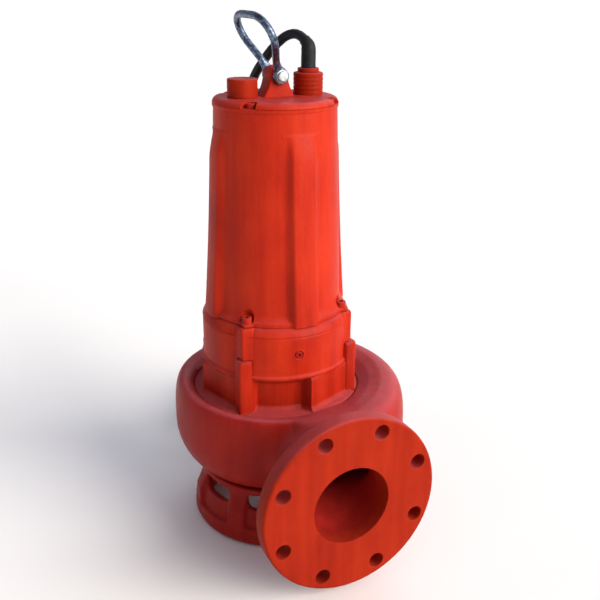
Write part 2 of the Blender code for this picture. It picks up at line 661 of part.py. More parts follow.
def smooth_route(knots, spacing):
    """Points at about equal spacing on a smooth curve through the knots."""
    pts = [Vector(knot) for knot in knots]
    pts = [pts[0] * 2 - pts[1]] + pts + [pts[-1] * 2 - pts[-2]]
    fine = []
    for i in range(1, len(pts) - 2):
        before, start, end, after = pts[i - 1:i + 3]
        for k in range(16):
            t = k / 16
            fine.append(0.5 * (2 * start + (end - before) * t + (2 * before - 5 * start + 4 * end - after) * t ** 2
                               + (3 * start - before - 3 * end + after) * t ** 3))
    fine.append(pts[-2])
    lengths = [0.0]
    for a, b in zip(fine, fine[1:]):
        lengths.append(lengths[-1] + (b - a).length)
    count = ceil(lengths[-1] / spacing)
    result = []
    for i in range(count + 1):
        wanted = lengths[-1] * i / count
        j = min(len(fine) - 2, max(0, int(np.searchsorted(lengths, wanted)) - 1))
        span = lengths[j + 1] - lengths[j]
        result.append(fine[j].lerp(fine[j + 1], (wanted - lengths[j]) / span))
    return result


def on_coil(angle, out=0.0, height=0.0, along=0.0):
    """A place on the coil: its ring's angle from +X, the way out from the middle of its turns, and along the turn."""
    turn = radians(angle)
    reach = COIL_MID_R + out
    return Vector((
        COIL_AT[0] + reach * cos(turn) - along * sin(turn),
        COIL_AT[1] + reach * sin(turn) + along * cos(turn),
        height,
    ))


def make_cable():
    """The stretch that isn't coiled, from the gland over the motor's back and down to the top of the coil."""
    landing = COIL_TOP + GAP + CABLE_D / 2
    knots = [
        (GLAND_X, 0.000, SLEEVE_TOP + GAP), (0.0428, 0.003, 0.6205), (0.0400, 0.014, 0.6280), (0.0360, 0.027, 0.6300),
        (0.0290, 0.039, 0.6250), (0.0195, 0.050, 0.6120), (0.0120, 0.062, 0.5960), (0.0065, 0.076, 0.5780),
        (0.0020, 0.087, 0.5530), (0.0010, 0.095, 0.5200), (0.0015, 0.101, 0.4800), (0.0030, 0.106, 0.4100),
        (0.0035, 0.113, 0.3300), (0.0035, 0.126, 0.2680), (0.0025, 0.147, 0.2100), (0.0005, 0.165, 0.1600),
        (-0.0015, 0.181, 0.1150), (-0.0030, 0.201, 0.0780), on_coil(191.0, 0.002, landing),
        on_coil(180.0, 0.000, landing), on_coil(168.0, 0.000, landing),
    ]
    data = bpy.data.curves.new("power_cable", "CURVE")
    data.dimensions = "3D"
    spline = data.splines.new("POLY")
    points = smooth_route(knots[:10], CABLE_D * 0.8) + smooth_route(knots[9:], CABLE_D * 2.2)[1:]
    points.insert(1, points[0] + Vector((0.0, 0.0, CABLE_D * 0.3)))
    spline.points.add(len(points) - 1)
    for target, point in zip(spline.points, points):
        target.co = (*point, 1.0)
    data.bevel_depth = CABLE_D / 2
    data.bevel_resolution = 3
    data.use_fill_caps = True
    data.materials.append(material("black_rubber"))
    cable = bpy.data.objects.new("power_cable", data)
    bpy.context.scene.collection.objects.link(cable)


def coil_outline(grown=0.0):
    """The section of the wound coil, as (way out, height), with eased corners."""
    half = COIL_HALF_WIDTH + grown
    low = COIL_BASE - grown
    high = COIL_TOP + grown
    ease = COIL_EASE
    nip = ease * 0.3
    return [
        (-half + ease, low), (half - ease, low), (half - nip, low + nip), (half, low + ease),
        (half, high - ease), (half - nip, high - nip), (half - ease, high),
        (-half + ease, high), (-half + nip, high - nip), (-half, high - ease),
        (-half, low + ease), (-half + nip, low + nip),
    ]


def make_coil():
    """The rest of the cable, wound into a ring that lies on three ties."""
    coil = turned_bm([(COIL_MID_R + out, height) for out, height in coil_outline()], steps=40)
    bmesh.ops.translate(coil, verts=coil.verts, vec=(*COIL_AT, 0.0))
    finish(coil, "cable_coil", "black_rubber")
    for i, angle in enumerate(TIE_ANGLES, 1):
        sides = (-TIE_WIDTH / 2, TIE_WIDTH / 2)
        around = [[on_coil(angle, out, height, along) for out, height in coil_outline(GAP + TIE_THICK)]
                  for along in sides]
        inside = [[on_coil(angle, out * 1.012, height, along * 1.5) for out, height in coil_outline(GAP)]
                  for along in sides]
        tie = finish(lofted_bm(around), f"coil_tie_{i}", "black_rubber")
        cut(tie, lofted_bm(inside))


def make_cable_end():
    """The cable's bare end on top of the coil: a short length of sheath with its four cores standing out of it."""
    spot = on_coil(END_ANGLE, 0.0, COIL_TOP + GAP + CABLE_D / 2)
    place = Matrix.Translation(spot) @ Matrix.Rotation(radians(END_ANGLE + 180.0), 4, "Z") @ Matrix.Rotation(pi / 2, 4, "X")
    bm = cylinder_bm(CABLE_D / 2, 0.0, 0.045, steps=16)
    bmesh.ops.transform(bm, matrix=place, verts=bm.verts)
    end = finish(bm, "cable_end", "black_rubber")
    step = CORE_D * 0.46
    for across, up, length in ((-step, -step, 0.046), (step, -step, 0.052), (step, step, 0.049), (-step, step, 0.056)):
        core = cylinder_bm(CORE_D / 2, -length, 0.004, (across, up), steps=10)
        bmesh.ops.transform(core, matrix=place, verts=core.verts)
        join(end, core)


def centre_on_base():
    """Moves everything so that the origin is under the middle of the pump's own box."""
    angles = [i * 0.5 for i in range(720)]
    outline = [polar(volute_radius(angle), angle) for angle in angles]
    low_x = min(x for x, _ in outline)
    high_x = max(x for x, _ in outline)
    high_y = max(y for _, y in outline)
    pump = bpy.data.objects.new("pump_axis", None)
    bpy.context.scene.collection.objects.link(pump)
    pump.location = (-(low_x + high_x) / 2, (FLANGE_FACE - high_y) / 2, 0.0)
    for thing in bpy.data.objects:
        if thing is not pump:
            thing.parent = pump


clear_scene()
make_volute()
make_stand()
make_adapter()
make_chamber()
make_housing()
make_top_cover()
make_screws()
make_inner_parts()
make_cap_and_gland()
make_lug()
make_bail()
make_cable()
make_coil()
make_cable_end()
centre_on_base()
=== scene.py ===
# Submersible sewage pump of grey cast iron in red enamel. It stands on a ring foot, its
# flanged outlet points to -Y, and the far end of its rubber cable is coiled behind it.
# Lengths are in metres and heights are from the floor.
import math
import bmesh
import bpy
import numpy as np
from mathutils import Matrix, Vector


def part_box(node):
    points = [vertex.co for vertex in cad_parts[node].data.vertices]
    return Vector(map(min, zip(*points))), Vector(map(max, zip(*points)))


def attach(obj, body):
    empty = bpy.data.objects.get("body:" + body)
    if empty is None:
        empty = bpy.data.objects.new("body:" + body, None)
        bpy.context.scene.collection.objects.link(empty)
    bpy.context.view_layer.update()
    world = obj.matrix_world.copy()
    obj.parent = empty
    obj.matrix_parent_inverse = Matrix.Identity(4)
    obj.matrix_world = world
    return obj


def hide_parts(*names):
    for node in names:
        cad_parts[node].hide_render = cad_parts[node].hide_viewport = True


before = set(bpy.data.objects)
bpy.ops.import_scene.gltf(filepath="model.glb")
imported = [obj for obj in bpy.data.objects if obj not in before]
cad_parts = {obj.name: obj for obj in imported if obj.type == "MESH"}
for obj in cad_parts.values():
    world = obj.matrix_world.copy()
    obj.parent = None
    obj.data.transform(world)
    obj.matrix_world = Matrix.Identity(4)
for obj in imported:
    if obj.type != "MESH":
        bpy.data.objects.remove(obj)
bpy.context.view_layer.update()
shaft_low, shaft_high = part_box("pump_shaft")
AXIS = np.array([(shaft_low[0] + shaft_high[0]) / 2, (shaft_low[1] + shaft_high[1]) / 2, 0.0])


# Camera
# A 51 mm lens on a 36 mm sensor, level with the motor's top and looking down at the
# outlet from its left. Lengths are from the pump's axis at the floor.
CAMERA_AT = AXIS + (-0.42535, -0.93484, 0.69526)
CAMERA_TURN, CAMERA_DOWN, CAMERA_ROLL = np.radians((-26.2176, 20.8885, 0.5054))


def camera_axes(turn, down, roll):
    """The camera's right, up and back directions: level first, then rolled about its own line of sight."""
    back = np.array((math.sin(turn) * math.cos(down), -math.cos(turn) * math.cos(down), math.sin(down)))
    right = np.array((math.cos(turn), math.sin(turn), 0.0))
    up = np.cross(back, right)
    return math.cos(roll) * right + math.sin(roll) * up, math.cos(roll) * up - math.sin(roll) * right, back


lens = bpy.data.cameras.new("camera")
lens.lens, lens.sensor_width = 51.0, 36.0
camera = bpy.data.objects.new("camera", lens)
place = np.eye(4)
place[:3] = np.stack([*camera_axes(CAMERA_TURN, CAMERA_DOWN, CAMERA_ROLL), CAMERA_AT], -1)
camera.matrix_world = Matrix(place.tolist())
bpy.context.scene.collection.objects.link(camera)
bpy.context.scene.camera = camera


# Power cable
# A four-core cable with a heavy rubber sheath, 11.5 mm thick and 10 m long. It rises from the
# gland, falls behind the motor and ends in a coil of nearly fourteen turns, held by three ties.
CABLE_D = 0.0115
GLAND_X = 0.0433
SLEEVE_ROOT = 0.5930
COIL_AT = np.array([0.100, 0.250])
COIL_MID_R = 0.104
COIL_BASE = 0.0021
COIL_TOP = 0.0501
SLOT = 0.012
# The cable's way from inside the gland down to the coil.
ROUTE = [
    (GLAND_X, 0.0, 0.6000), (GLAND_X, 0.0, 0.6143), (0.0428, 0.003, 0.6205), (0.0400, 0.014, 0.6280),
    (0.0360, 0.027, 0.6300), (0.0290, 0.039, 0.6250), (0.0195, 0.050, 0.6120), (0.0120, 0.062, 0.5960),
    (0.0065, 0.076, 0.5780), (0.0020, 0.087, 0.5530), (0.0010, 0.095, 0.5200), (0.0015, 0.101, 0.4800),
    (0.0030, 0.106, 0.4100), (0.0035, 0.113, 0.3300), (0.0035, 0.126, 0.2680), (0.0025, 0.147, 0.2100),
    (0.0005, 0.165, 0.1600), (-0.0015, 0.181, 0.1150), (-0.0030, 0.201, 0.0780),
]
# Ring angles in degrees: where the cable lands on the coil and has settled in its first slot, and
# where each turn changes slot. The last turn lies for a while, climbs, rolls over and ends on top.
LANDING_TURN, LANDING_OUT, LANDING_HEIGHT = 191.0, 0.002, 0.05625
ROLL_TURN, SETTLED_TURN, CHANGE_TURN, CHANGE_SWEEP = 184.0, 142.0, 226.0, 38.0
LAST_SWEEP, CLIMB_SWEEP, ROLL_SWEEP, END_SWEEP = 128.0, 60.0, 40.0, 13.0


def eased(share):
    """Half a cosine wave: starts and stops gently between 0 and 1."""
    return (1.0 - np.cos(np.pi * np.clip(share, 0.0, 1.0))) / 2.0


def coil_places():
    """The coil's places as (ring angle from +X, way out from the middle of the turns, height).
    The cable goes round clockwise, in four columns of slots: down the inner one, up the next, down the
    third, and up the outer one to the top, and it changes slot over the same sweep of each turn."""
    levels = COIL_BASE + SLOT * (np.arange(4) + 0.5)
    columns = SLOT * (np.arange(4) - 1.5)
    slots = [(columns[0], z) for z in levels[::-1]] + [(columns[1], z) for z in levels]
    slots += [(columns[2], z) for z in levels[::-1]] + [(columns[3], z) for z in levels[:2]]
    rows = []

    def run(start, stop, outs, heights):
        share = np.linspace(0.0, 1.0, max(2, int(abs(stop - start) / 2.0)), endpoint=False)
        rows.append(np.stack([start + (stop - start) * share, outs(share), heights(share)], 1))

    def between(first, last):
        return lambda share: first + (last - first) * eased(share)

    def over(start, stop, outer, inner, top, back):
        """Rolls over the neighbouring turn: along a quarter circle about it, then level."""
        arc = SLOT * np.pi / 2
        flat = abs(inner - outer) - SLOT
        way = math.copysign(1.0, inner - outer)

        def part(share):
            return eased(1.0 - share if back else share) * (arc + flat)

        def lift(share):
            return np.clip(part(share) / arc, 0.0, 1.0) * np.pi / 2

        run(start, stop,
            lambda s: outer + way * (SLOT * (1.0 - np.cos(lift(s))) + np.maximum(part(s) - arc, 0.0)),
            lambda s: top + SLOT * np.sin(lift(s)))

    over(ROLL_TURN, SETTLED_TURN, columns[0], 0.0, levels[3], True)
    angle = SETTLED_TURN
    for here, after in zip(slots, slots[1:]):
        stop = CHANGE_TURN - 360.0 * math.ceil((CHANGE_TURN - angle) / 360.0)
        run(angle, stop, between(here[0], here[0]), between(here[1], here[1]))
        run(stop, stop - CHANGE_SWEEP, between(here[0], after[0]), between(here[1], after[1]))
        angle = stop - CHANGE_SWEEP
    out, level = slots[-1]
    top = levels[3] + SLOT
    climb = angle - LAST_SWEEP
    roll = climb - CLIMB_SWEEP
    end = roll - ROLL_SWEEP
    run(angle, climb, between(out, out), between(level, level))
    run(climb, roll, between(out, out), between(level, levels[3]))
    over(roll, end, columns[3], 0.0, levels[3], False)
    run(end, end - END_SWEEP, between(0.0, 0.0), between(top, top))
    return np.concatenate(rows)


def on_ring(angle, out, height):
    """Places on the coil, from ring angles in degrees, ways out from the middle turn, and heights."""
    turn = np.radians(angle)
    reach = COIL_MID_R + out
    x, y = COIL_AT[0] + reach * np.cos(turn), COIL_AT[1] + reach * np.sin(turn)
    return np.stack([x, y, height + 0 * turn], -1)


def smooth_line(knots, spacing):
    """A Catmull-Rom curve through the knots, cut into equal lengths near the spacing."""
    k = np.concatenate([[2 * knots[0] - knots[1]], knots, [2 * knots[-1] - knots[-2]]])
    a, b, c, d = (k[i:len(k) - 3 + i, None] for i in range(4))
    t = np.linspace(0.0, 1.0, 12, endpoint=False)[None, :, None]
    bend = (2 * a - 5 * b + 4 * c - d) * t ** 2
    fine = 0.5 * (2 * b + (c - a) * t + bend + (3 * b - a - 3 * c + d) * t ** 3)
    fine = np.concatenate([fine.reshape(-1, 3), knots[-1:]])
    along = lengths_along(fine)
    wanted = np.linspace(0.0, along[-1], int(math.ceil(along[-1] / spacing)) + 1)
    return np.stack([np.interp(wanted, along, fine[:, i]) for i in range(3)], 1)


def lengths_along(path):
    """The way from a path's first point to each of its points, as the sum of the steps between them."""
    return np.concatenate([[0.0], np.cumsum(np.linalg.norm(np.diff(path, axis=0), axis=1))])


def carried(path, across, upward):
    """A closed profile carried along a path: across and upward are its two coordinates, one row a point.
    They lie along two directions square to the path, which go on from point to point without twist."""
    tangents = np.gradient(path, axis=0)
    tangents /= np.linalg.norm(tangents, axis=1)[:, None]
    side = np.cross(tangents[0], (0.0, 0.3, 1.0) if abs(tangents[0][2]) < 0.9 else (0.0, 1.0, 0.0))
    sides = []
    for tangent in tangents:
        side = side - tangent * np.dot(side, tangent)
        side = side / np.linalg.norm(side)
        sides.append(side)
    sides = np.array(sides)
    ups = np.cross(tangents, sides)
    return path[:, None, :] + sides[:, None, :] * across[..., None] + ups[:, None, :] * upward[..., None]


def grid_faces(rows, columns):
    """Quads between neighbouring rows of a grid whose last column joins its first."""
    row, column = np.meshgrid(np.arange(rows - 1), np.arange(columns), indexing="ij")
    after = (column + 1) % columns
    low, high = row * columns, (row + 1) * columns
    return np.stack([low + column, low + after, high + after, high + column], -1).reshape(-1, 4)


def open_grid(grid):
    """A grid's points and faces as index rows, with no ends of its own."""
    return grid.reshape(-1, 3), grid_faces(*grid.shape[:2])


def closed_grid(grid):
    """A grid's points and faces, with one more point at the middle of each end ring."""
    ends = np.repeat(np.stack([grid[0].mean(0), grid[-1].mean(0)])[:, None], grid.shape[1], 1)
    return open_grid(np.concatenate([ends[:1], grid, ends[1:]]))


def round_turns(count):
    """Turns evenly round a circle, in radians."""
    return np.linspace(0.0, 2 * np.pi, count, endpoint=False)


def round_bar(path, radii, sides):
    """A round bar along a path, with a radius for each of its points, closed at both ends."""
    turns = round_turns(sides)
    return closed_grid(carried(path, radii[:, None] * np.cos(turns), radii[:, None] * np.sin(turns)))


def made(name, shells, material, stands_for=(), body="pump", sharp=50.0):
    """One piece from closed shells of (points, faces): doubled points are merged, faces turned outwards,
    and edges sharper than the given angle left unsmoothed. Points are from the pump's axis."""
    counts = np.cumsum([0] + [len(points) for points, _ in shells])
    points = np.concatenate([points for points, _ in shells]) + AXIS
    faces = np.concatenate([faces + start for (_, faces), start in zip(shells, counts)])
    mesh = bpy.data.meshes.new(name)
    mesh.from_pydata(points.tolist(), [], faces.tolist())
    bm = bmesh.new()
    bm.from_mesh(mesh)
    bmesh.ops.remove_doubles(bm, verts=bm.verts, dist=2e-6)
    bmesh.ops.recalc_face_normals(bm, faces=bm.faces)
    bm.to_mesh(mesh)
    bm.free()
    mesh.shade_smooth()
    mesh.set_sharp_from_angle(angle=math.radians(sharp))
    mesh.materials.append(material)
    piece = bpy.data.objects.new(name, mesh)
    bpy.context.scene.collection.objects.link(piece)
    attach(piece, body)
    if stands_for:
        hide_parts(*stands_for)
    return piece


def srgb(code):
    """A hex colour turned to linear light, with full alpha."""
    part = np.array([int(code[i:i + 2], 16) for i in (1, 3, 5)]) / 255.0
    lit = np.where(part <= 0.04045, part / 12.92, ((part + 0.055) / 1.055) ** 2.4)
    return (*lit.tolist(), 1.0)


def wire(tree, node, inputs):
    """Sets each named input to a value, or links it to an output, or to the first output of a node."""
    for socket, value in inputs.items():
        if isinstance(value, bpy.types.Node):
            value = value.outputs[0]
        if isinstance(value, bpy.types.NodeSocket):
            tree.links.new(value, node.inputs[socket])
        else:
            node.inputs[socket].default_value = value


def add(tree, kind, inputs, stops=(), **settings):
    """Adds a node, sets its fields and its ramp's stops, and wires its inputs."""
    new = tree.nodes.new("ShaderNode" + kind)
    for field, value in settings.items():
        setattr(new, field, value)
    for i, (position, code) in enumerate(stops):
        ramp = new.color_ramp.elements
        stop = ramp[i] if i < len(ramp) else ramp.new(position)
        stop.position, stop.color = position, srgb(code)
    wire(tree, new, inputs)
    return new


def new_finish(name, **values):
    """A material with one Principled shader, whose sockets take the values, and the place on the object that
    its patterns read: gives the material, its tree, the shader and that place."""
    material = bpy.data.materials.new(name)
    material.use_nodes = True
    tree = material.node_tree
    shader = tree.nodes["Principled BSDF"]
    wire(tree, shader, {socket.replace("_", " "): value for socket, value in values.items()})
    return material, tree, shader, add(tree, "TexCoord", {}).outputs["Object"]


# Chloroprene rubber, extruded and then dusted: matt black, with paler scuffs about 6 mm across
# where it rubs, and a fine grain of 1 mm.
rubber, tree, shader, spot = new_finish("chloroprene_rubber_sheath", Specular_IOR_Level=0.28)
scuffs = add(tree, "TexNoise", {"Vector": spot, "Scale": 160.0, "Detail": 6.0, "Roughness": 0.65})
dust_and_sheen = add(tree, "TexNoise", {"Vector": spot, "Scale": 35.0, "Detail": 3.0})
grain = add(tree, "TexNoise", {"Vector": spot, "Scale": 900.0, "Detail": 4.0})
wire(tree, shader, {
    "Base Color": add(tree, "ValToRGB", {"Fac": scuffs},
                      [(0.35, "#080a0d"), (0.62, "#13171b"), (0.85, "#2e3438")]),
    "Roughness": add(tree, "MapRange", {"Value": dust_and_sheen, "From Min": 0.3, "From Max": 0.7,
                                        "To Min": 0.42, "To Max": 0.66}),
    "Normal": add(tree, "Bump", {"Height": grain, "Strength": 0.22, "Distance": 0.0004}),
})

landing = on_ring(np.array([LANDING_TURN]), np.array([LANDING_OUT]), np.array([LANDING_HEIGHT]))
cable_line = smooth_line(np.concatenate([ROUTE, landing, on_ring(*coil_places().T)]), 0.0062)
cable_radii = np.full(len(cable_line), CABLE_D / 2)
cable_radii[[0, -1]] *= 0.90
power_cable = made("power_cable_sheath", [round_bar(cable_line, cable_radii, 14)], rubber,
                   ("power_cable", "cable_coil"))

# The stripped end: four cores of 2.5 square millimetres in their own coloured insulation of
# ethylene rubber, half glossy and a little uneven in tone. They spread as they leave the sheath.
CORE_D = 0.0033
CORES = (("brown", "#5b3a22", 0.044, -1, -1), ("black", "#17181a", 0.040, 1, -1),
         ("grey", "#8a8d8f", 0.043, 1, 1), ("green", "#3f8f3a", 0.038, -1, 1))
end_point, end_way = cable_line[-1], cable_line[-1] - cable_line[-2]
end_way /= np.linalg.norm(end_way)
end_side = np.cross(end_way, (0.0, 0.0, 1.0))
for i, (colour, code, length, across, up) in enumerate(CORES, 1):
    core_finish, tree, shader, spot = new_finish("core_insulation_" + colour, Roughness=0.38)
    wear = add(tree, "TexNoise", {"Vector": spot, "Scale": 500.0, "Detail": 3.0})
    tone = add(tree, "MapRange", {"Value": wear, "To Min": 0.75, "To Max": 1.2})
    wire(tree, shader, {"Base Color": add(tree, "HueSaturation", {"Color": srgb(code), "Value": tone})})
    share = np.linspace(0.0, 1.0, 10)[:, None]
    spread = 1.0 + 1.1 * eased(share)
    upward = np.array((0.0, 0.0, 1.0)) * up * np.where(up < 0, 1.0 / spread, 1.0)
    aside = (end_side * across + upward) * CORE_D / 2 * spread
    core_line = end_point + end_way * (length * share - 0.004) + aside
    core_radii = np.array([0.7] + [1.0] * 8 + [0.7]) * CORE_D / 2
    made(f"cable_core_{i}", [round_bar(core_line, core_radii, 10)], core_finish,
                      ("cable_end",) if i == 1 else ())

# The boot in the gland: soft moulded rubber that follows the cable's bend and narrows onto it.
BOOT_LENGTH = 0.036
BOOT_R = 0.0088
BOOT_ROUND = 0.0036
boot_knots = [(GLAND_X, 0.0, SLEEVE_ROOT - 0.0012), (GLAND_X, 0.0, 0.6000), *ROUTE[1:6]]
boot_line = smooth_line(np.array(boot_knots), 0.0006)
along = lengths_along(boot_line)
boot_line, along = boot_line[along <= BOOT_LENGTH], along[along <= BOOT_LENGTH]
share = along / along[-1]
boot_radii = BOOT_R - 0.0002 * share - 0.0018 * eased((share - 0.60) / 0.40)
rounded = BOOT_R - BOOT_ROUND + BOOT_ROUND * np.sqrt(np.clip((1.0 - share) / 0.08, 0.0, 1.0))
boot_radii = np.minimum(boot_radii, rounded)
sleeve = made("cable_boot_moulded", [round_bar(boot_line, boot_radii, 40)], rubber,
              ("cable_sleeve",))

# Three hook-and-loop straps round the coil, 11 mm wide, woven nylon with a soft edge.
STRAP_HALF = 0.0055
STRAP_THICK = 0.0017
strap_web, tree, shader, spot = new_finish("woven_nylon_strap", Roughness=0.86, Sheen_Weight=0.35)
weave = add(tree, "TexWave", {"Vector": spot, "Scale": 260.0, "Distortion": 1.5, "Detail": 2.0},
            bands_direction="DIAGONAL").outputs["Fac"]
wire(tree, shader, {
    "Base Color": add(tree, "ValToRGB", {"Fac": weave}, [(0.2, "#0b0c0e"), (0.8, "#24272b")]),
    "Normal": add(tree, "Bump", {"Height": weave, "Strength": 0.5, "Distance": 0.0004}),
})


def strap_points(angle):
    """A strap's six-sided section carried round the coil's section, a rounded square 50 mm each way whose
    sides are powers of the sine and cosine. The strap stands off along the square's outward direction."""
    turn = round_turns(72)
    half = (COIL_TOP - COIL_BASE) / 2 + 0.0012
    out = np.sign(np.cos(turn)) * np.abs(np.cos(turn)) ** 0.42 * half
    up = np.sign(np.sin(turn)) * np.abs(np.sin(turn)) ** 0.42 * half
    width = np.array([-1.0, -0.92, 0.92, 1.0, 0.92, -0.92]) * STRAP_HALF
    thick = np.array([0.0, 1.0, 1.0, 0.0, -1.0, -1.0]) * STRAP_THICK / 2
    normal = np.stack([np.gradient(up), -np.gradient(out)], -1)
    normal /= np.linalg.norm(normal, axis=1)[:, None]
    reach = COIL_MID_R + out[:, None] + normal[:, :1] * thick
    height = (COIL_BASE + COIL_TOP) / 2 + up[:, None] + normal[:, 1:] * thick
    sine, cosine = math.sin(math.radians(angle)), math.cos(math.radians(angle))
    x = COIL_AT[0] + reach * cosine - width * sine
    y = COIL_AT[1] + reach * sine + width * cosine
    return np.stack([x, y, np.maximum(height, 0.0003)], -1)


for i, angle in enumerate((15.0, 135.0, 255.0), 1):
    band = strap_points(angle)
    made(f"coil_strap_{i}", [open_grid(np.concatenate([band, band[:1]]))], strap_web,
                       (f"coil_tie_{i}",))


# Volute casing
# One iron casting: a spiral chamber whose outer wall runs away from the shaft, and a neck
# that leads to the outlet flange. Sand-cast, shot-blasted and sprayed with red enamel.
VOLUTE_BOTTOM = 0.0798
VOLUTE_SEAT = 0.1842
VOLUTE_SEAT_R = 0.1082
VOLUTE_LEDGE = 0.1895
VOLUTE_FLOOR_R = 0.086
VOLUTE_WALL = 0.009
CREST_FRONT = 0.1925
CREST_BACK = 0.2022
TONGUE_TURN = -30.0
SPIRAL_R = 0.1250
SPIRAL_GROWTH = 0.0520
SPIRAL_WRAP = 300.0
SPIRAL_END = 345.0
SHOULDER_POWER = 0.62
FLANGE_FACE = 0.2126
FLANGE_HEIGHT = 0.1212
FLANGE_THICK = 0.022
FLANGE_BOSS_R = 0.078
BORE_R = 0.049
INLET_R = 0.056
# Sections of the neck and of the passage in it: y, middle x, middle z, half width, half height.
NECK = [
    (-0.060, 0.017, 0.1330, 0.070, 0.0500), (-0.100, 0.014, 0.1335, 0.070, 0.0500),
    (-0.130, 0.008, 0.1320, 0.066, 0.0560), (-0.160, 0.002, 0.1260, 0.061, 0.0590),
    (-0.178, 0.000, FLANGE_HEIGHT, 0.060, 0.060), (-0.215, 0.000, FLANGE_HEIGHT, 0.060, 0.060),
]
PASSAGE = [
    (-0.060, 0.0150, 0.1333, 0.049, 0.040), (-0.110, 0.0102, 0.1333, 0.052, 0.041),
    (-0.150, 0.003, 0.1272, 0.050, 0.047), (-0.176, 0.000, FLANGE_HEIGHT, BORE_R, BORE_R),
    (-0.250, 0.000, FLANGE_HEIGHT, BORE_R + 0.0006, BORE_R + 0.0006),
]


def enamel(name, orange, red, wine, roughness=0.40, gloss=0.08, dust_and_sheen=0.5):
    """Sprayed alkyd enamel on cast iron: a red film that varies with its thickness and in upright runs, half
    glossy, with an orange peel of 3 mm over softer waves of 22 mm. Where it faces up it turns pale pink,
    which is dust and painted sheen, the sky's reflection; below 12 to 17 cm above the floor this fades to a
    tenth, which is painted shade low down and in the bore."""
    material, tree, shader, spot = new_finish(name, IOR=1.50, Specular_IOR_Level=gloss)
    broad = add(tree, "TexNoise", {"Vector": spot, "Scale": 9.0, "Detail": 3.0, "Roughness": 0.55})
    upright = add(tree, "Mapping", {"Vector": spot, "Scale": (60.0, 60.0, 5.0)})
    runs = add(tree, "TexNoise", {"Vector": upright, "Scale": 1.0, "Detail": 4.0, "Roughness": 0.6})
    mixed = add(tree, "Math", {0: broad, 1: runs}, operation="ADD")
    half = add(tree, "Math", {0: mixed, 1: 0.5}, operation="MULTIPLY")
    film = add(tree, "ValToRGB", {"Fac": half}, [(0.30, wine), (0.46, red), (0.66, orange)])
    specks = add(tree, "TexNoise", {"Vector": spot, "Scale": 420.0, "Detail": 5.0, "Roughness": 0.7})
    fine = add(tree, "MapRange", {"Value": specks, "From Min": 0.3, "From Max": 0.7,
                                  "To Min": 0.90, "To Max": 1.06})
    # Painted sheen and dust: faces that look up turn pale pink, as the sky's reflection would make them.
    upward = add(tree, "SeparateXYZ", {"Vector": spot.node.outputs["Normal"]}).outputs["Z"]
    upward_dust_and_sheen = add(tree, "MapRange", {"Value": upward, "From Min": 0.25, "From Max": 0.95,
                                     "To Min": 0.0, "To Max": dust_and_sheen}, interpolation_type="SMOOTHSTEP")
    level = add(tree, "SeparateXYZ", {"Vector": spot}).outputs["Z"]
    # Painted shade: low down, and so in the bore, the pale pink fades to a tenth.
    sheen_fades_low_down = add(tree, "MapRange", {"Value": level, "From Min": 0.12, "From Max": 0.17,
                                      "To Min": 0.1, "To Max": 1.0})
    dust_and_sheen_up_high = add(tree, "Math", {0: upward_dust_and_sheen, 1: sheen_fades_low_down}, operation="MULTIPLY")
    patchy_dust_and_sheen = add(tree, "Math", {0: dust_and_sheen_up_high, 1: broad}, operation="MULTIPLY")
    # The pale pink #b8545c is dust and painted sheen.
    film_with_dust_and_sheen = add(tree, "Mix", {0: patchy_dust_and_sheen, 6: film, 7: srgb("#b8545c")}, data_type="RGBA").outputs[2]
    waves = add(tree, "TexNoise", {"Vector": spot, "Scale": 45.0, "Detail": 2.0})
    soft = add(tree, "Bump", {"Height": waves, "Strength": 0.22, "Distance": 0.004})
    peel = add(tree, "TexNoise", {"Vector": spot, "Scale": 330.0, "Detail": 2.0})
    wire(tree, shader, {
        "Base Color": add(tree, "HueSaturation", {"Color": film_with_dust_and_sheen, "Value": fine}),
        "Roughness": add(tree, "MapRange", {"Value": runs, "From Min": 0.3, "From Max": 0.7,
                                            "To Min": roughness - 0.05, "To Max": roughness + 0.12}),
        "Normal": add(tree, "Bump", {"Height": peel, "Strength": 0.10, "Distance": 0.0008, "Normal": soft}),
    })
    return material


def eased_max(a, b, size):
    """The greater of two, with the corner where they meet filled by a smooth curve of the given size."""
    near = np.maximum(size - np.abs(a - b), 0.0)
    return np.maximum(a, b) + near ** 2 / (4.0 * size)


def eased_min(a, b, size):
    """The lesser of two, with the corner where they meet cut by a smooth curve of the given size."""
    return -eased_max(-a, -b, size)


def spiral(turn):
    """The casing's outer radius and crest height at a turn in degrees, 0 at the outlet and growing to +X.
    The wrap is counted clockwise from the tongue. The radius grows with the 1.3rd power of the wrap and falls
    back over its last degrees, and the crest rises as a sine and falls back too."""
    wrap = (TONGUE_TURN - turn) % 360.0
    left = SPIRAL_END - wrap
    outer = SPIRAL_R + SPIRAL_GROWTH * (wrap / SPIRAL_WRAP) ** 1.3 * np.clip(left / 35.0, 0.0, 1.0)
    rise = np.sin(np.pi / 2 * np.minimum(1.0, wrap / 200.0)) * np.clip(left / 80.0, 0.0, 1.0)
    return outer, CREST_FRONT + (CREST_BACK - CREST_FRONT) * rise


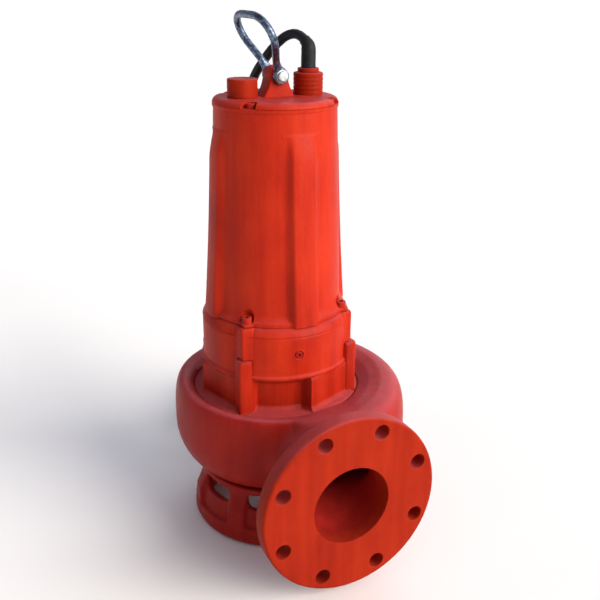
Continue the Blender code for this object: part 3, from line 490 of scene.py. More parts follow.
def section_corners(outer, top, inset):
    """The casing's section at each turn as corners (radius, height): seat, ledge, rising shoulder, a
    superellipse down to the widest place, an ellipse to the floor, and a closing line past the axis."""
    same = 0 * outer
    seat = VOLUTE_SEAT - inset
    inner = VOLUTE_SEAT_R - 0.6 * inset
    bottom = VOLUTE_BOTTOM + inset
    ledge = VOLUTE_LEDGE - inset
    floor = VOLUTE_FLOOR_R - 0.5 * inset
    outer, top = outer - inset, top - inset
    crest = inner + (outer - inner) * 0.50
    middle = bottom + (top - bottom) * 0.52
    corners = [(same - 0.05, same + seat), (same + inner, same + seat), (same + inner, same + ledge),
               (inner + (crest - inner) * 0.5, ledge + (top - ledge) * (0.66 - 40.0 * inset))]
    for turn in np.pi / 2 * np.linspace(0.0, 1.0, 13):
        out, up = math.sin(turn) ** SHOULDER_POWER, abs(math.cos(turn)) ** SHOULDER_POWER
        corners.append((crest + (outer - crest) * out, middle + (top - middle) * up))
    for turn in np.pi / 2 * np.linspace(0.0, 1.0, 10)[1:]:
        out, down = abs(math.cos(turn)), math.sin(turn)
        corners.append((floor + (outer - floor) * out, middle + (bottom - middle) * down))
    return corners + [(same - 0.05, same + bottom)]


def from_outline(radius, height, corners):
    """Signed distance from points (radius, height) to a closed outline, less than zero inside it."""
    nearest, inside = 1e9, False
    for (r0, z0), (r1, z1) in zip(corners, corners[1:] + corners[:1]):
        dr, dz = r1 - r0, z1 - z0
        pr, pz = radius - r0, height - z0
        share = np.clip((pr * dr + pz * dz) / (dr * dr + dz * dz + 1e-12), 0.0, 1.0)
        nearest = np.minimum(nearest, (pr - dr * share) ** 2 + (pz - dz * share) ** 2)
        crosses = (z0 > height) != (z1 > height)
        inside = inside ^ (crosses & (pr < pz * dr / np.where(dz == 0, 1e-12, dz)))
    return np.where(inside, -1.0, 1.0) * np.sqrt(nearest)


def from_pipe(x, y, z, stations):
    """Near enough the signed distance to a pipe towards -Y whose elliptical section changes smoothly between
    its stations: each of their numbers is drawn as a line over y, averaged over 25 of its 200 steps."""
    rows = np.array(stations)[::-1]
    fine = np.linspace(rows[0, 0], rows[-1, 0], 200)
    smooth = np.ones(25) / 25.0
    parts = []
    for column in range(1, 5):
        drawn = np.interp(fine, rows[:, 0], rows[:, column])
        drawn = np.convolve(np.pad(drawn, 12, mode="edge"), smooth, mode="valid")
        parts.append(np.interp(y, fine, drawn))
    middle_x, middle_z, wide, tall = parts
    dx, dz = x - middle_x, z - middle_z
    reach = np.sqrt((dx / wide) ** 2 + (dz / tall) ** 2) + 1e-9
    slope = np.sqrt((dx / wide ** 2) ** 2 + (dz / tall ** 2) ** 2) + 1e-9
    return reach * (reach - 1.0) / slope


def volute_field(x, y, z):
    """Signed distance to the casing: the spiral's outside joined to the neck by a wide fillet, less the same
    two shapes one wall further in, the suction eye, and what lies past the flange's face."""
    radius = np.sqrt(x * x + y * y)
    outer, crest = spiral(np.degrees(np.arctan2(x, -y)))
    neck = eased_max(from_pipe(x, y, z, NECK), y + 0.050, 0.010)
    outside = eased_min(from_outline(radius, z, section_corners(outer, crest, 0.0)), neck, 0.016)
    boss = np.maximum(y - (-FLANGE_FACE + FLANGE_THICK + 0.0006),
                      np.sqrt(x * x + (z - FLANGE_HEIGHT) ** 2) - FLANGE_BOSS_R)
    outside = eased_min(outside, boss, 0.014)
    passage = np.maximum(from_pipe(x, y, z, PASSAGE), y + 0.060)
    chamber = from_outline(radius, z, section_corners(outer, crest, VOLUTE_WALL))
    eye = np.maximum(radius - INLET_R, np.abs(z - VOLUTE_BOTTOM) - 0.020)
    inside = np.minimum(eased_min(chamber, passage, 0.012), eye)
    return eased_max(eased_max(outside, -inside, 0.003), (-FLANGE_FACE + 0.004) - y, 0.001)


def skinned(field, low, high, cell, draws=3):
    """A closed skin where a field is zero. Each cell of a grid that the skin crosses gets one point, at the
    mean of the crossings on its twelve edges; four cells round a crossed edge share a face; and the points
    are then drawn onto the zero surface along the field's slope."""
    axes = [np.arange(a, b + cell, cell) for a, b in zip(low, high)]
    values = field(axes[0][:, None, None], axes[1][None, :, None], axes[2][None, None, :])
    shape = np.array(values.shape)
    total = np.zeros((*(shape - 1), 3))
    count = np.zeros(shape - 1)
    crossings = []
    for axis in range(3):
        others = [i for i in range(3) if i != axis]
        first = np.take(values, range(shape[axis] - 1), axis)
        second = np.take(values, range(1, shape[axis]), axis)
        crossed = (first < 0) != (second < 0)
        share = first / np.where(crossed, first - second, 1.0)
        crossings.append((axis, others, crossed, first < 0))
        for p in (0, 1):
            for q in (0, 1):
                cut = [slice(None)] * 3
                cut[others[0]] = slice(p, shape[others[0]] - 1 + p)
                cut[others[1]] = slice(q, shape[others[1]] - 1 + q)
                mask = crossed[tuple(cut)]
                count += mask
                total[..., axis] += np.where(mask, share[tuple(cut)], 0.0)
                total[..., others[0]] += mask * p
                total[..., others[1]] += mask * q
    used = np.argwhere(count > 0)
    number = np.full(tuple(shape - 1), -1)
    number[tuple(used.T)] = np.arange(len(used))
    points = np.array(low) + cell * (used + total[count > 0] / count[count > 0][:, None])
    faces = []
    for axis, others, crossed, leaving in crossings:
        cut = [slice(None)] * 3
        cut[others[0]] = cut[others[1]] = slice(1, -1)
        at = np.argwhere(crossed[tuple(cut)])
        at[:, others] += 1
        corners = []
        for p, q in ((1, 1), (0, 1), (0, 0), (1, 0)):
            cell_at = at.copy()
            cell_at[:, others] -= (p, q)
            corners.append(number[tuple(cell_at.T)])
        quads = np.stack(corners, -1)
        turned_over = leaving[tuple(at.T)] ^ (axis == 1)
        faces.append(np.where(turned_over[:, None], quads, quads[:, ::-1]))
    step = cell * 0.2
    for _ in range(draws):
        here = field(*points.T)
        slopes = []
        for way in step * np.eye(3):
            slopes.append((field(*(points + way).T) - field(*(points - way).T)) / (2 * step))
        slope = np.stack(slopes, -1)
        pull = here / np.maximum((slope ** 2).sum(1), 0.3)
        points = points - slope * np.clip(pull, -cell * 0.6, cell * 0.6)[:, None]
    return points, np.concatenate(faces)


casting_red = enamel("sprayed_enamel_on_sand_casting", "#a82619", "#961c15", "#801612",
                     roughness=0.36, gloss=0.09, dust_and_sheen=1.1)
VOLUTE_CELL = 0.0028
volute_skin = skinned(volute_field, (-0.1460, -0.2140, 0.0400), (0.1800, 0.1600, 0.2100), VOLUTE_CELL)
made("volute_casting", [volute_skin], casting_red, ("volute_casing",), sharp=75.0)


# Outlet flange
# The neck's round flange, part of the same casting: turned flat on its face and drilled
# with eight bolt holes that straddle the upright line, then painted with the rest.
FLANGE_R = 0.1126
FLANGE_EDGE = 0.0035
BOLT_CIRCLE_R = 0.09525
BOLT_HOLE_R = 0.0095
BOLT_HOLES = 8
SECTOR_HALF = np.pi / BOLT_HOLES
LIP = 0.0007


def quarter(count=5):
    """Sines and cosines of a quarter turn, for a rounded edge."""
    turn = np.linspace(0.0, np.pi / 2, count)
    return np.sin(turn), np.cos(turn)


def hole_sector(middle, inner, outer):
    """Places on the border of one hole's eighth of the ring, as turns and radii made into (u, v).
    Neighbouring eighths share the places on the two straight sides between them."""
    arc = np.linspace(-SECTOR_HALF, SECTOR_HALF, 17)
    inward = np.linspace(outer, inner, 12)[1:-1]
    border = [(outer, a) for a in arc] + [(r, SECTOR_HALF) for r in inward]
    border += [(inner, a) for a in arc[::-1]] + [(r, -SECTOR_HALF) for r in inward[::-1]]
    radius, turn = np.array(border).T
    return np.stack([radius * np.cos(turn + middle), radius * np.sin(turn + middle)], -1)


def flange_shells():
    """Front and back faces as grids from each hole's edge out to its sector's border, the holes' walls, the
    rounded rim and the bore, all with shared points."""
    shells = []
    sine, cosine = quarter()
    middles = SECTOR_HALF * (2 * np.arange(BOLT_HOLES) + 1)
    arc = np.linspace(-SECTOR_HALF, SECTOR_HALF, 17)
    rim_turns = np.unique(np.round(np.concatenate([middle + arc for middle in middles]), 9))[:-1]

    def placed(u, v, back):
        return np.stack([u, back - FLANGE_FACE + 0 * u, FLANGE_HEIGHT + v], -1)

    for middle in middles:
        border = hole_sector(middle, BORE_R + LIP, FLANGE_R - FLANGE_EDGE)
        centre = BOLT_CIRCLE_R * np.array([math.cos(middle), math.sin(middle)])
        far = np.linalg.norm(border - centre, axis=1)[:, None]
        way = (border - centre) / far
        hole = BOLT_HOLE_R + LIP
        for face, sign in ((0.0, 1.0), (FLANGE_THICK, -1.0)):
            rows = [(hole + (far - hole) * s, face) for s in np.linspace(1.0, 0.0, 6) ** 1.3]
            rows += [(hole - LIP * s, face + sign * LIP * (1 - c)) for s, c in zip(sine[1:], cosine[1:])]
            if sign > 0:
                rows += [(BOLT_HOLE_R, back) for back in np.linspace(LIP, FLANGE_THICK - LIP, 6)[1:]]
            shells.append(open_grid(np.array([placed(*(centre + way * out).T, back) for out, back in rows])))
    rim = [(FLANGE_R - FLANGE_EDGE * (1 - s), FLANGE_EDGE * (1 - c)) for s, c in zip(sine, cosine)]
    rim += [(r, FLANGE_THICK - back) for r, back in rim[::-1]]
    bore = [(BORE_R + LIP * (1 - s), LIP * (1 - c)) for s, c in zip(sine, cosine)]
    bore += [(BORE_R, FLANGE_THICK - LIP), (BORE_R + LIP, FLANGE_THICK)]
    for profile in (rim, bore):
        grid = np.array([placed(r * np.cos(rim_turns), r * np.sin(rim_turns), back) for r, back in profile])
        shells.append(open_grid(grid))
    return shells


turned_red = enamel("sprayed_enamel_on_turned_iron", "#a0280f", "#90200c", "#80190b",
                    roughness=0.44, gloss=0.05, dust_and_sheen=0.9)
made("outlet_flange", flange_shells(), turned_red, sharp=40.0)


# Suction stand
# A cast ring foot, a skirt with eight webs and a window between every two, and a top plate
# that the casing is bolted to. Sewage enters through the windows. Iron, painted inside and out.
FOOT_R = 0.1116
FOOT_WALL = 0.017
FOOT_TOP = 0.025
FOOT_CHAMFER = 0.0042
PLATE_TOP = 0.0795
PLATE_THICK = 0.009
PLATE_R = 0.101
SKIRT_LOW_R = 0.1050
SKIRT_TOP_R = 0.0980
SKIRT_WALL = 0.008
WEB_TURN = math.radians(-53.5)
WEB_STEP = math.radians(45.0)
WEB_HALF = 0.0125
WEB_HEIGHTS = (0.020, 0.046, 0.066, 0.0745)
WEB_RADII = (0.1108, 0.1104, 0.1015, 0.0985)
WINDOW_HALF = 0.0255
WINDOW_LOW = 0.0495
WINDOW_HIGH = 0.0735


def from_ring(radius, z, inner, outer, low, high, ease):
    """Signed distance to a ring of rectangular section with eased edges."""
    dr = np.abs(radius - (inner + outer) / 2) - (outer - inner) / 2 + ease
    dz = np.abs(z - (low + high) / 2) - (high - low) / 2 + ease
    outside = np.sqrt(np.maximum(dr, 0.0) ** 2 + np.maximum(dz, 0.0) ** 2)
    return outside + np.minimum(np.maximum(dr, dz), 0.0) - ease


def stand_field(x, y, z):
    """Signed distance to the stand: a low foot ring, a skirt that narrows upwards, eight webs that stand out
    from it as far as the ring, and the top plate, joined by fillets, less a window between every two webs."""
    radius = np.sqrt(x * x + y * y)
    turn = (np.arctan2(x, -y) - WEB_TURN + WEB_STEP / 2) % WEB_STEP - WEB_STEP / 2
    foot = from_ring(radius, z, FOOT_R - FOOT_WALL, FOOT_R, 0.0, FOOT_TOP, 0.0030)
    foot = eased_max(foot, (radius - FOOT_R - z + FOOT_CHAMFER) / math.sqrt(2.0), 0.0040)
    plate = from_ring(radius, z, INLET_R, PLATE_R, PLATE_TOP - PLATE_THICK, PLATE_TOP, 0.0018)
    outer = np.interp(z, (FOOT_TOP, PLATE_TOP), (SKIRT_LOW_R, SKIRT_TOP_R))
    tall = np.maximum(0.010 - z, z - PLATE_TOP + 0.002)
    skirt = np.maximum(np.abs(radius - outer + SKIRT_WALL / 2) - SKIRT_WALL / 2, tall)
    web = eased_max(np.abs(radius * turn) - WEB_HALF, radius - np.interp(z, WEB_HEIGHTS, WEB_RADII), 0.004)
    web = np.maximum(web, np.maximum(0.0975 - radius, tall))
    solid = eased_min(eased_min(foot, skirt, 0.004), web, 0.005)
    across = WINDOW_HALF - radius * np.abs(np.abs(turn) - WEB_STEP / 2)
    upright = (WINDOW_HIGH - WINDOW_LOW) / 2 - np.abs(z - (WINDOW_HIGH + WINDOW_LOW) / 2)
    solid = eased_max(solid, eased_min(across, upright, 0.012), 0.003)
    solid = eased_min(solid, plate, 0.004)
    return np.maximum(solid, np.maximum(0.0001 - z, z - PLATE_TOP))


STAND_CELL = 0.0024
stand_skin = skinned(stand_field, (-0.1150, -0.1150, -0.0040), (0.1150, 0.1150, 0.0830), STAND_CELL)
made("suction_stand_casting", [stand_skin], casting_red, ("suction_stand",), sharp=75.0)


# Adapter cover
# Closes the casing and carries the oil chamber: a round wall with four columns for the long
# screws and a flat pad beside each, standing on a flange that sits in the casing.
SEAT_LOW = 0.1845
ADAPTER_TOP = 0.2337
ADAPTER_R = 0.0840
ADAPTER_LIP_R = 0.0935
PAD_OUT = 0.0925
PAD_HALF = 0.0368
PAD_TURN = -25.0
COLUMN_R = 0.1074
COLUMN_TOP = 0.2585
COLUMN_HALF = 0.0112
COLUMN_SEAT_R = 0.0944
COLUMN_TURNS = (-137.0, -48.5, 48.5, 137.0)
SEAT_ROWS = [(0.1066, SEAT_LOW), (0.1079, SEAT_LOW + 0.0010), (0.1079, VOLUTE_LEDGE - 0.0004),
             (0.1077, VOLUTE_LEDGE - 0.0001)]


def column_turns(count, *sides):
    """Turns round the axis in radians, evenly spread, with more of them at each column's steep sides."""
    even = np.linspace(-180.0, 180.0, count, endpoint=False)
    steep = [centre + side + np.linspace(-1.6, 1.6, 17) for centre in COLUMN_TURNS for side in sides]
    turns = np.concatenate([even, *steep])
    return np.radians(np.unique(np.round((turns + 180.0) % 360.0 - 180.0, 3)))


def off_column(turns, centre):
    """Signed angle from a column's middle, between -180 and 180 degrees, in radians."""
    return (turns - math.radians(centre) + np.pi) % (2 * np.pi) - np.pi


def column_reach(turns, reach, half=COLUMN_HALF):
    """Radius of the four columns: two faces square to each other that meet in an eased corner, and steep
    flanks that fall four times as fast as they go sideways. It is -1 away from them."""
    found = np.full_like(turns, -1.0)
    flat = (reach + 0.0010) / math.sqrt(2.0)
    for centre in COLUMN_TURNS:
        turn = off_column(turns, centre)
        left, right = (flat / np.maximum(np.cos(turn + lean), 0.4) for lean in (np.pi / 4, -np.pi / 4))
        nose = eased_min(left, right, 0.0060) - np.maximum(np.abs(reach * np.sin(turn)) - half, 0.0) * 4.0
        found = np.maximum(found, np.where(np.abs(turn) < np.pi / 3, nose, -1.0))
    return found


def ring(radii, heights, turns):
    """One ring of points about the axis. Its radius and its height are one number or one for every turn."""
    radii = radii + 0 * turns
    return np.stack([radii * np.sin(turns), -radii * np.cos(turns), heights + 0 * turns], -1)


def adapter_grid():
    """Radius over height and turn: the wall with its foot fillet, raised by pads and columns whose corners
    are filled. The two front columns alone go on above the wall, outside the chamber."""
    turns = column_turns(480, -6.0, 6.0, -47.0, -49.5, -3.5, -2.0)
    rows = [ring(r, z, turns) for r, z in SEAT_ROWS]
    columns = column_reach(turns, COLUMN_R)
    pads = np.full_like(turns, -1.0)
    for centre in COLUMN_TURNS:
        turn = off_column(turns, centre + PAD_TURN)
        flat = PAD_OUT / np.cos(np.clip(turn, -0.6, 0.6))
        edge = PAD_HALF / np.maximum(np.abs(np.sin(turn)), 0.2)
        pads = np.maximum(pads, np.where(np.abs(turn) < np.pi / 4, eased_min(flat, edge, 0.0012), -1.0))
    upper = np.linspace(0.0132, ADAPTER_TOP - VOLUTE_LEDGE - 0.0012, 26)
    for up in np.concatenate([np.linspace(0.0, 0.012, 13), upper]):
        z = VOLUTE_LEDGE + up
        low = max(0.0, 1.0 - up / 0.007) ** 2
        foot = ADAPTER_R + 0.0055 * max(0.0, 1.0 - up / 0.006) ** 2.2
        lip = ADAPTER_LIP_R - max(0.0, ADAPTER_TOP - 0.0020 - z) * 1.6
        wall = eased_max(foot + 0 * turns, lip, 0.0015)
        pad = pads - 0.0035 * np.clip((z - ADAPTER_TOP + 0.0030) / 0.0030, 0.0, 1.0) ** 2 + 0.0060 * low
        seam = eased_max(eased_max(wall, pad, 0.0025), columns + 0.0012 * low, 0.0060)
        rows.append(ring(np.minimum(seam, 0.1110), z, turns))
    standing = np.clip((columns - 0.0952) / 0.0020, 0.0, 1.0) * (np.cos(turns) > 0.0)
    standing = standing * standing * (3.0 - 2.0 * standing)
    rise = (COLUMN_TOP - ADAPTER_TOP) * standing
    outer = np.maximum(columns, COLUMN_SEAT_R)
    for share in np.linspace(0.0, 1.0, 12):
        nose = np.minimum(seam, outer + 0.004 * (1 - share))
        size = np.where(standing > 0.02, nose, seam - 0.0010 * min(1.0, 3 * share))
        size = size - 0.0012 * np.clip((share - 0.9) / 0.1, 0.0, 1.0) * standing
        rows.append(ring(size, ADAPTER_TOP + rise * share, turns))
    inner = np.minimum(COLUMN_SEAT_R, size - 0.0002)
    rows += [ring(size + (inner - size) * share, ADAPTER_TOP + rise, turns) for share in (0.25, 0.6, 1.0)]
    rows += [ring(inner - 0.0002, ADAPTER_TOP + rise * share, turns) for share in (0.5, 0.0)]
    return np.array(rows + [ring(0.070, ADAPTER_TOP, turns)])


motor_red = enamel("sprayed_enamel_on_smooth_casting", "#bc3015", "#aa2410", "#8c1b10")
# The adapter's enamel turns pale pink on faces that look up: dust and painted sheen.
adapter_red = enamel("enamel_with_dust_and_painted_sheen_on_adapter", "#b42c15", "#9c2010", "#80190a", dust_and_sheen=0.8)
made("adapter_cover_casting", [closed_grid(adapter_grid())], adapter_red,
     ("adapter_cover",), sharp=60.0)


# Oil chamber
# A cast ring between adapter and motor that holds the seals' oil: a lip at the bottom, a band
# with a round shoulder at its top, four columns for the screws, and a filler plug at the front.
CHAMBER_LOW = 0.2340
CHAMBER_TOP = 0.2992
CHAMBER_R = 0.0942
CHAMBER_BAND_R = 0.0955
CHAMBER_BAND = 0.0095
CHAMBER_COLUMN_R = 0.1003
SHOULDER_DEPTH = 0.0060
SHOULDER_HEIGHT = 0.016
PLUG_TURN = -7.0
PLUG_HEIGHT = 0.2660
POCKET_R = 0.0055
POCKET_DEPTH = 0.0022


def each_once(*runs):
    """The numbers of several runs in order, each of them once, to a thousandth of a millimetre."""
    return np.unique(np.round(np.concatenate(runs), 6))


def chamber_grid():
    """Radius over height and turn: a plain wall, a lip below and a band above with a fine groove under it,
    columns above the adapter's, and the filler plug's round pocket with its raised edge."""
    plug_steps = np.degrees(np.linspace(-0.0085, 0.0085, 29) / CHAMBER_R)
    turns = each_once(column_turns(480, -6.0, 6.0), np.radians(PLUG_TURN + plug_steps))
    columns_top = column_reach(turns, CHAMBER_COLUMN_R)
    in_front = np.cos(turns) > 0.0
    behind_adapter = (column_reach(turns, COLUMN_R) > 0.0950) & in_front
    across = CHAMBER_R * off_column(turns, PLUG_TURN)
    heights = each_once(
        CHAMBER_LOW + np.array([0.0, 0.0004, 0.0010, 0.0018, 0.0026, 0.0031, 0.0036, 0.0042, 0.0049]),
        np.linspace(0.2400, 0.2565, 14), np.linspace(0.2572, 0.2600, 7), np.linspace(0.2605, 0.2720, 30),
        np.linspace(0.2730, 0.2950, 34),
        CHAMBER_TOP - np.array([0.0034, 0.0024, 0.0015, 0.0007, 0.0002, 0.0]))
    rows = []
    for z in heights:
        up, down = z - CHAMBER_LOW, CHAMBER_TOP - z
        lip = CHAMBER_BAND_R + 0.0010 - max(0.0, up - 0.0028) * 1.4
        band = CHAMBER_BAND_R - max(0.0, down - CHAMBER_BAND) * 2.0
        wall = eased_max(CHAMBER_R + 0 * turns, max(lip, band), 0.0018)
        wall = wall - SHOULDER_DEPTH * max(0.0, 1.0 - down / SHOULDER_HEIGHT) ** 2
        wall = wall - 0.0004 * math.exp(-((down - CHAMBER_BAND - 0.0013) / 0.0007) ** 2)
        above = np.where(in_front, np.clip((z - COLUMN_TOP + 0.0006) / 0.0016, 0.0, 1.0), 1.0)
        reach = eased_max(wall, -1.0 + (columns_top + 1.0) * above, 0.0055)
        reach = reach - 0.55 * (max(0.0, 0.0016 - down) + max(0.0, 0.0012 - up))
        if z < COLUMN_TOP:
            reach = np.where(behind_adapter, np.minimum(reach, 0.0940), reach)
        far = np.sqrt(across ** 2 + (z - PLUG_HEIGHT) ** 2)
        reach = reach - POCKET_DEPTH * np.clip((POCKET_R - far) / 0.0009, 0.0, 1.0)
        reach = reach + 0.0005 * np.exp(-((far - POCKET_R - 0.0008) / 0.0007) ** 2)
        rows.append(ring(reach, z, turns))
    return np.array(rows)


made("oil_chamber_casting", [closed_grid(chamber_grid())], motor_red,
     ("oil_chamber",), sharp=60.0)


def eased_profile(corners, size, count=5):
    """A polyline with its inner corners swapped for short curves: at each corner, a parabola between the
    points that lie the given size along the two sides."""
    corners = np.array(corners, float)
    kept = [corners[0]]
    for before, corner, after in zip(corners, corners[1:], corners[2:]):
        first, second = before - corner, after - corner
        cut = min(size, np.linalg.norm(first) * 0.45, np.linalg.norm(second) * 0.45)
        start = corner + first / np.linalg.norm(first) * cut
        stop = corner + second / np.linalg.norm(second) * cut
        t = np.linspace(0.0, 1.0, count)[:, None]
        kept += list((1 - t) ** 2 * start + 2 * t * (1 - t) * corner + t ** 2 * stop)
    return np.array(kept + [corners[-1]])


def spun(profile, turns, at=(0.0, 0.0, 0.0), axis="z"):
    """Rows of (radius, height) spun about an upright or lying axis through a point, closed at both ends. A
    row's radius may be one number or one for every turn."""
    rows = []
    for radius, height in profile:
        u, v, w = radius * np.cos(turns), radius * np.sin(turns), height + 0 * turns
        rows.append(np.stack((u, v, w) if axis == "z" else (u, w, v), -1))
    return closed_grid(np.array(rows) + np.array(at))


def hexagon(turns, across):
    """Distance to a hexagon's side at each turn, from its width across flats."""
    return across / 2 / np.cos((turns + np.pi / 6) % (np.pi / 3) - np.pi / 6)


def socket_head(radius, height, across, depth):
    """A cylinder head along +Z with eased edges and a hexagon socket: rings that turn from round to
    six-sided at the socket's mouth."""
    turns = round_turns(48)
    six = hexagon(turns, across)
    rows = list(eased_profile([(radius, -0.0006), (radius, height), (across * 0.64, height)], 0.0009))
    rows += [(six + 0.0002, height), (six, height - 0.0003), (six, height - depth * 0.6),
             (six * 0.97, height - depth), (six * 0.3, height - depth * 1.1)]
    return spun(rows, turns)


def facing_out(shell, turn, height, radius):
    """Turns a shell that was made along +Z at the origin so that it looks out from the axis at a turn."""
    points, faces = shell
    out = np.array([math.sin(turn), -math.cos(turn), 0.0])
    side = np.array([math.cos(turn), math.sin(turn), 0.0])
    up = np.array([0.0, 0.0, 1.0])
    return points @ np.stack([side, up, out]) + out * radius + up * height, faces


# Each head is given as its radius, its height, and its socket's width and depth.
PLUG_HEAD = (0.0045, 0.0028, 0.0040, 0.0020)
LONG_SCREW_HEAD = (0.0062, 0.0064, 0.0060, 0.0036)
LID_SCREW_HEAD = (0.0050, 0.0052, 0.0050, 0.0028)
screw_red = enamel("brushed_enamel_on_screws", "#b02a18", "#9c2014", "#781612", roughness=0.38)
plug = facing_out(socket_head(*PLUG_HEAD), math.radians(PLUG_TURN), PLUG_HEIGHT, CHAMBER_R - 0.0026)
made("oil_filler_plug", [plug], screw_red, ("oil_plug",), sharp=40.0)


# Motor housing
# The motor's cast frame: a round shell that widens downwards, with four broad ribs that rise
# out of it below its top, a flared foot, and four ears for the long screws.
HOUSING_LOW = 0.2995
HOUSING_TOP = 0.5515
HOUSING_TOP_R = 0.0740
HOUSING_BASE_R = 0.0815
HOUSING_BASE = 0.32
RIB_TOP = 0.528
RIB_BASE = 0.30
RIB_FOOT_HALF = 0.0200
RIB_FACE_HALF = 0.0132
RIB_RUNOUT = 0.036
EAR_R = 0.0948
EAR_HALF = 0.0105
EAR_THICK = 0.0055
LONG_SCREW_R = 0.0860
LONG_SCREW_ROOM = 0.0088
FOOT_STEPS = np.array([0.0, 0.0003, 0.0008, 0.0014, 0.0022, 0.0032, 0.0042, 0.0049, 0.0053, 0.0056,
                       0.0060, 0.0066, 0.0075, 0.0086, 0.0100, 0.0118])


def hollow_edge(turns, at, radius):
    """Radius at which a round upright hollow begins at each column's turn, and 1 where there is none."""
    found = np.full_like(turns, 1.0)
    for centre in COLUMN_TURNS:
        turn = off_column(turns, centre)
        across = at * np.sin(turn)
        edge = at * np.cos(turn) - np.sqrt(np.maximum(radius ** 2 - across ** 2, 0.0))
        found = np.where((np.abs(across) < radius) & (np.abs(turn) < 1.0), edge, found)
    return found


def housing_grid():
    """Radius over height and turn: the drafted wall with a flared foot, four ribs with sloped flanks whose
    reach grows downwards, each with a fine parting seam, then the ears and the room for the screws' heads."""
    turns = column_turns(440, -6.2, 6.2, -5.5, 5.5)
    heights = each_once(
        HOUSING_LOW + FOOT_STEPS, np.linspace(0.3125, 0.3320, 14), np.linspace(0.3345, 0.4900, 46),
        np.linspace(0.4920, 0.5420, 34), np.linspace(0.5430, 0.5505, 6),
        HOUSING_TOP - np.array([0.0006, 0.0002, 0.0]))
    ears = column_reach(turns, EAR_R, EAR_HALF)
    room = hollow_edge(turns, LONG_SCREW_R, LONG_SCREW_ROOM)
    rows = []
    for z in heights:
        up = z - HOUSING_LOW
        below = (HOUSING_TOP - z) / (HOUSING_TOP - HOUSING_BASE)
        drafted = HOUSING_TOP_R + (HOUSING_BASE_R - HOUSING_TOP_R) * below
        flare = 0.0874 - 0.0059 * math.sin(np.clip((up - 0.0050) / 0.0120, 0.0, 1.0) * np.pi / 2) ** 0.8
        body = (flare if up < 0.0170 else drafted) + 0 * turns
        rise = max(0.0, (RIB_TOP - z) / (RIB_TOP - RIB_BASE))
        ramp = math.sin(min(1.0, max(0.0, RIB_TOP - z) / RIB_RUNOUT) * np.pi / 2)
        reach = drafted - 0.0010 * (1.0 - ramp) + 0.0055 * ramp + 0.0050 * rise ** 2.2
        foot = RIB_FACE_HALF + (RIB_FOOT_HALF - RIB_FACE_HALF) * (0.15 + 0.85 * ramp)
        if rise > 0.0:
            ribs = np.full_like(turns, -1.0)
            for centre in (0.0, 90.0, 180.0, 270.0):
                side = drafted * np.abs(off_column(turns, centre))
                flank = drafted - 0.0006 + (foot - side) * (reach - drafted + 0.0006) / (foot - RIB_FACE_HALF)
                rib = eased_min(reach, flank, 0.0018) + 0.0002 * np.exp(-(side / 0.0011) ** 2)
                ribs = np.where(side < foot + 0.01, np.maximum(ribs, rib), ribs)
            body = eased_max(body, ribs, 0.0050)
        if up > 0.0051:
            body = eased_min(body, np.minimum(room + 2.0 * max(0.0, up - 0.0140) ** 1.2, 0.2), 0.0012)
        if up < 0.0062:
            body = eased_max(body, ears - max(0.0, up - 0.0046) * 12.0 - max(0.0, 0.0008 - up), 0.0022)
        rows.append(ring(body - 0.5 * max(0.0, 0.0010 - up), z, turns))
    return np.array(rows)


made("motor_housing_casting", [closed_grid(housing_grid())], motor_red,
     ("motor_housing",), sharp=60.0)


def screws(name, reach, height, head, stands_for):
    """Four upright socket-head screws, one at each column's turn, painted over with what they hold."""
    for i, centre in enumerate(COLUMN_TURNS, 1):
        turn = math.radians(centre)
        points, faces = socket_head(*head)
        points = points + (reach * math.sin(turn), -reach * math.cos(turn), height)
        made(f"{name}_{i}", [(points, faces)], screw_red, (f"{stands_for}_{i}",), sharp=40.0)


# The long screws that hold motor, oil chamber and adapter together.
screws("long_screw", LONG_SCREW_R, HOUSING_LOW + EAR_THICK, LONG_SCREW_HEAD, "base_screw")


# Top cover
# A low round lid of cast iron over the motor's connections, with a soft outer edge and four
# scooped notches where its small socket-head screws sit.
COVER_LOW = 0.5518
COVER_TOP = 0.5625
COVER_R = 0.0752
COVER_EDGE = 0.0072
NOTCH_FLOOR = COVER_LOW + 0.0045
NOTCH_AT = 0.0700
NOTCH_R = 0.0086
LID_SCREW_R = 0.0668


def cover_grid():
    """Rings from the underside up the rim and over to the middle; where a notch cuts in, the rings above its
    floor step back to the notch's round wall."""
    turns = column_turns(480, -6.9, 6.9, -6.0, 6.0)
    notch = hollow_edge(turns, NOTCH_AT, NOTCH_R)
    sine, cosine = quarter(9)
    over_floor = eased_min(COVER_R, notch, 0.0008)
    rows = [ring(COVER_R - 0.0002, COVER_LOW - 0.0002, turns), ring(COVER_R, COVER_LOW + 0.0002, turns),
            ring(COVER_R, NOTCH_FLOOR - 0.0004, turns), ring(over_floor, NOTCH_FLOOR - 0.0001, turns)]
    for s, c in zip(sine, cosine):
        z = COVER_TOP - COVER_EDGE * (1 - s)
        size = COVER_R - COVER_EDGE * (1 - c) + 0 * turns
        if z > NOTCH_FLOOR - 0.0001:
            size = eased_min(size, notch, 0.0008)
        rows.append(ring(size, z, turns))
    rows += [ring(size * share, COVER_TOP, turns) for share in (0.97, 0.93, 0.85, 0.7, 0.5, 0.3, 0.12)]
    return np.array(rows)


made("top_cover_casting", [closed_grid(cover_grid())], motor_red, ("top_cover",), sharp=50.0)
screws("lid_screw", LID_SCREW_R, NOTCH_FLOOR, LID_SCREW_HEAD, "cover_screw")


# Blind cap and cable gland
# Two round bosses screwed into the lid: a plain cap over the unused entry, and the gland whose
# grooved body and collar squeeze a rubber ring round the cable. Turned iron, painted.
BLIND_CAP_X = -0.0420
BLIND_CAP_TOP = 0.5840
ENTRY_R = 0.0178
GLAND_TOP = 0.5880
GLAND_EDGE = 0.0018
GROOVE_STEP = 0.0050
GROOVE_DEPTH = 0.00035
COLLAR_R = 0.0128


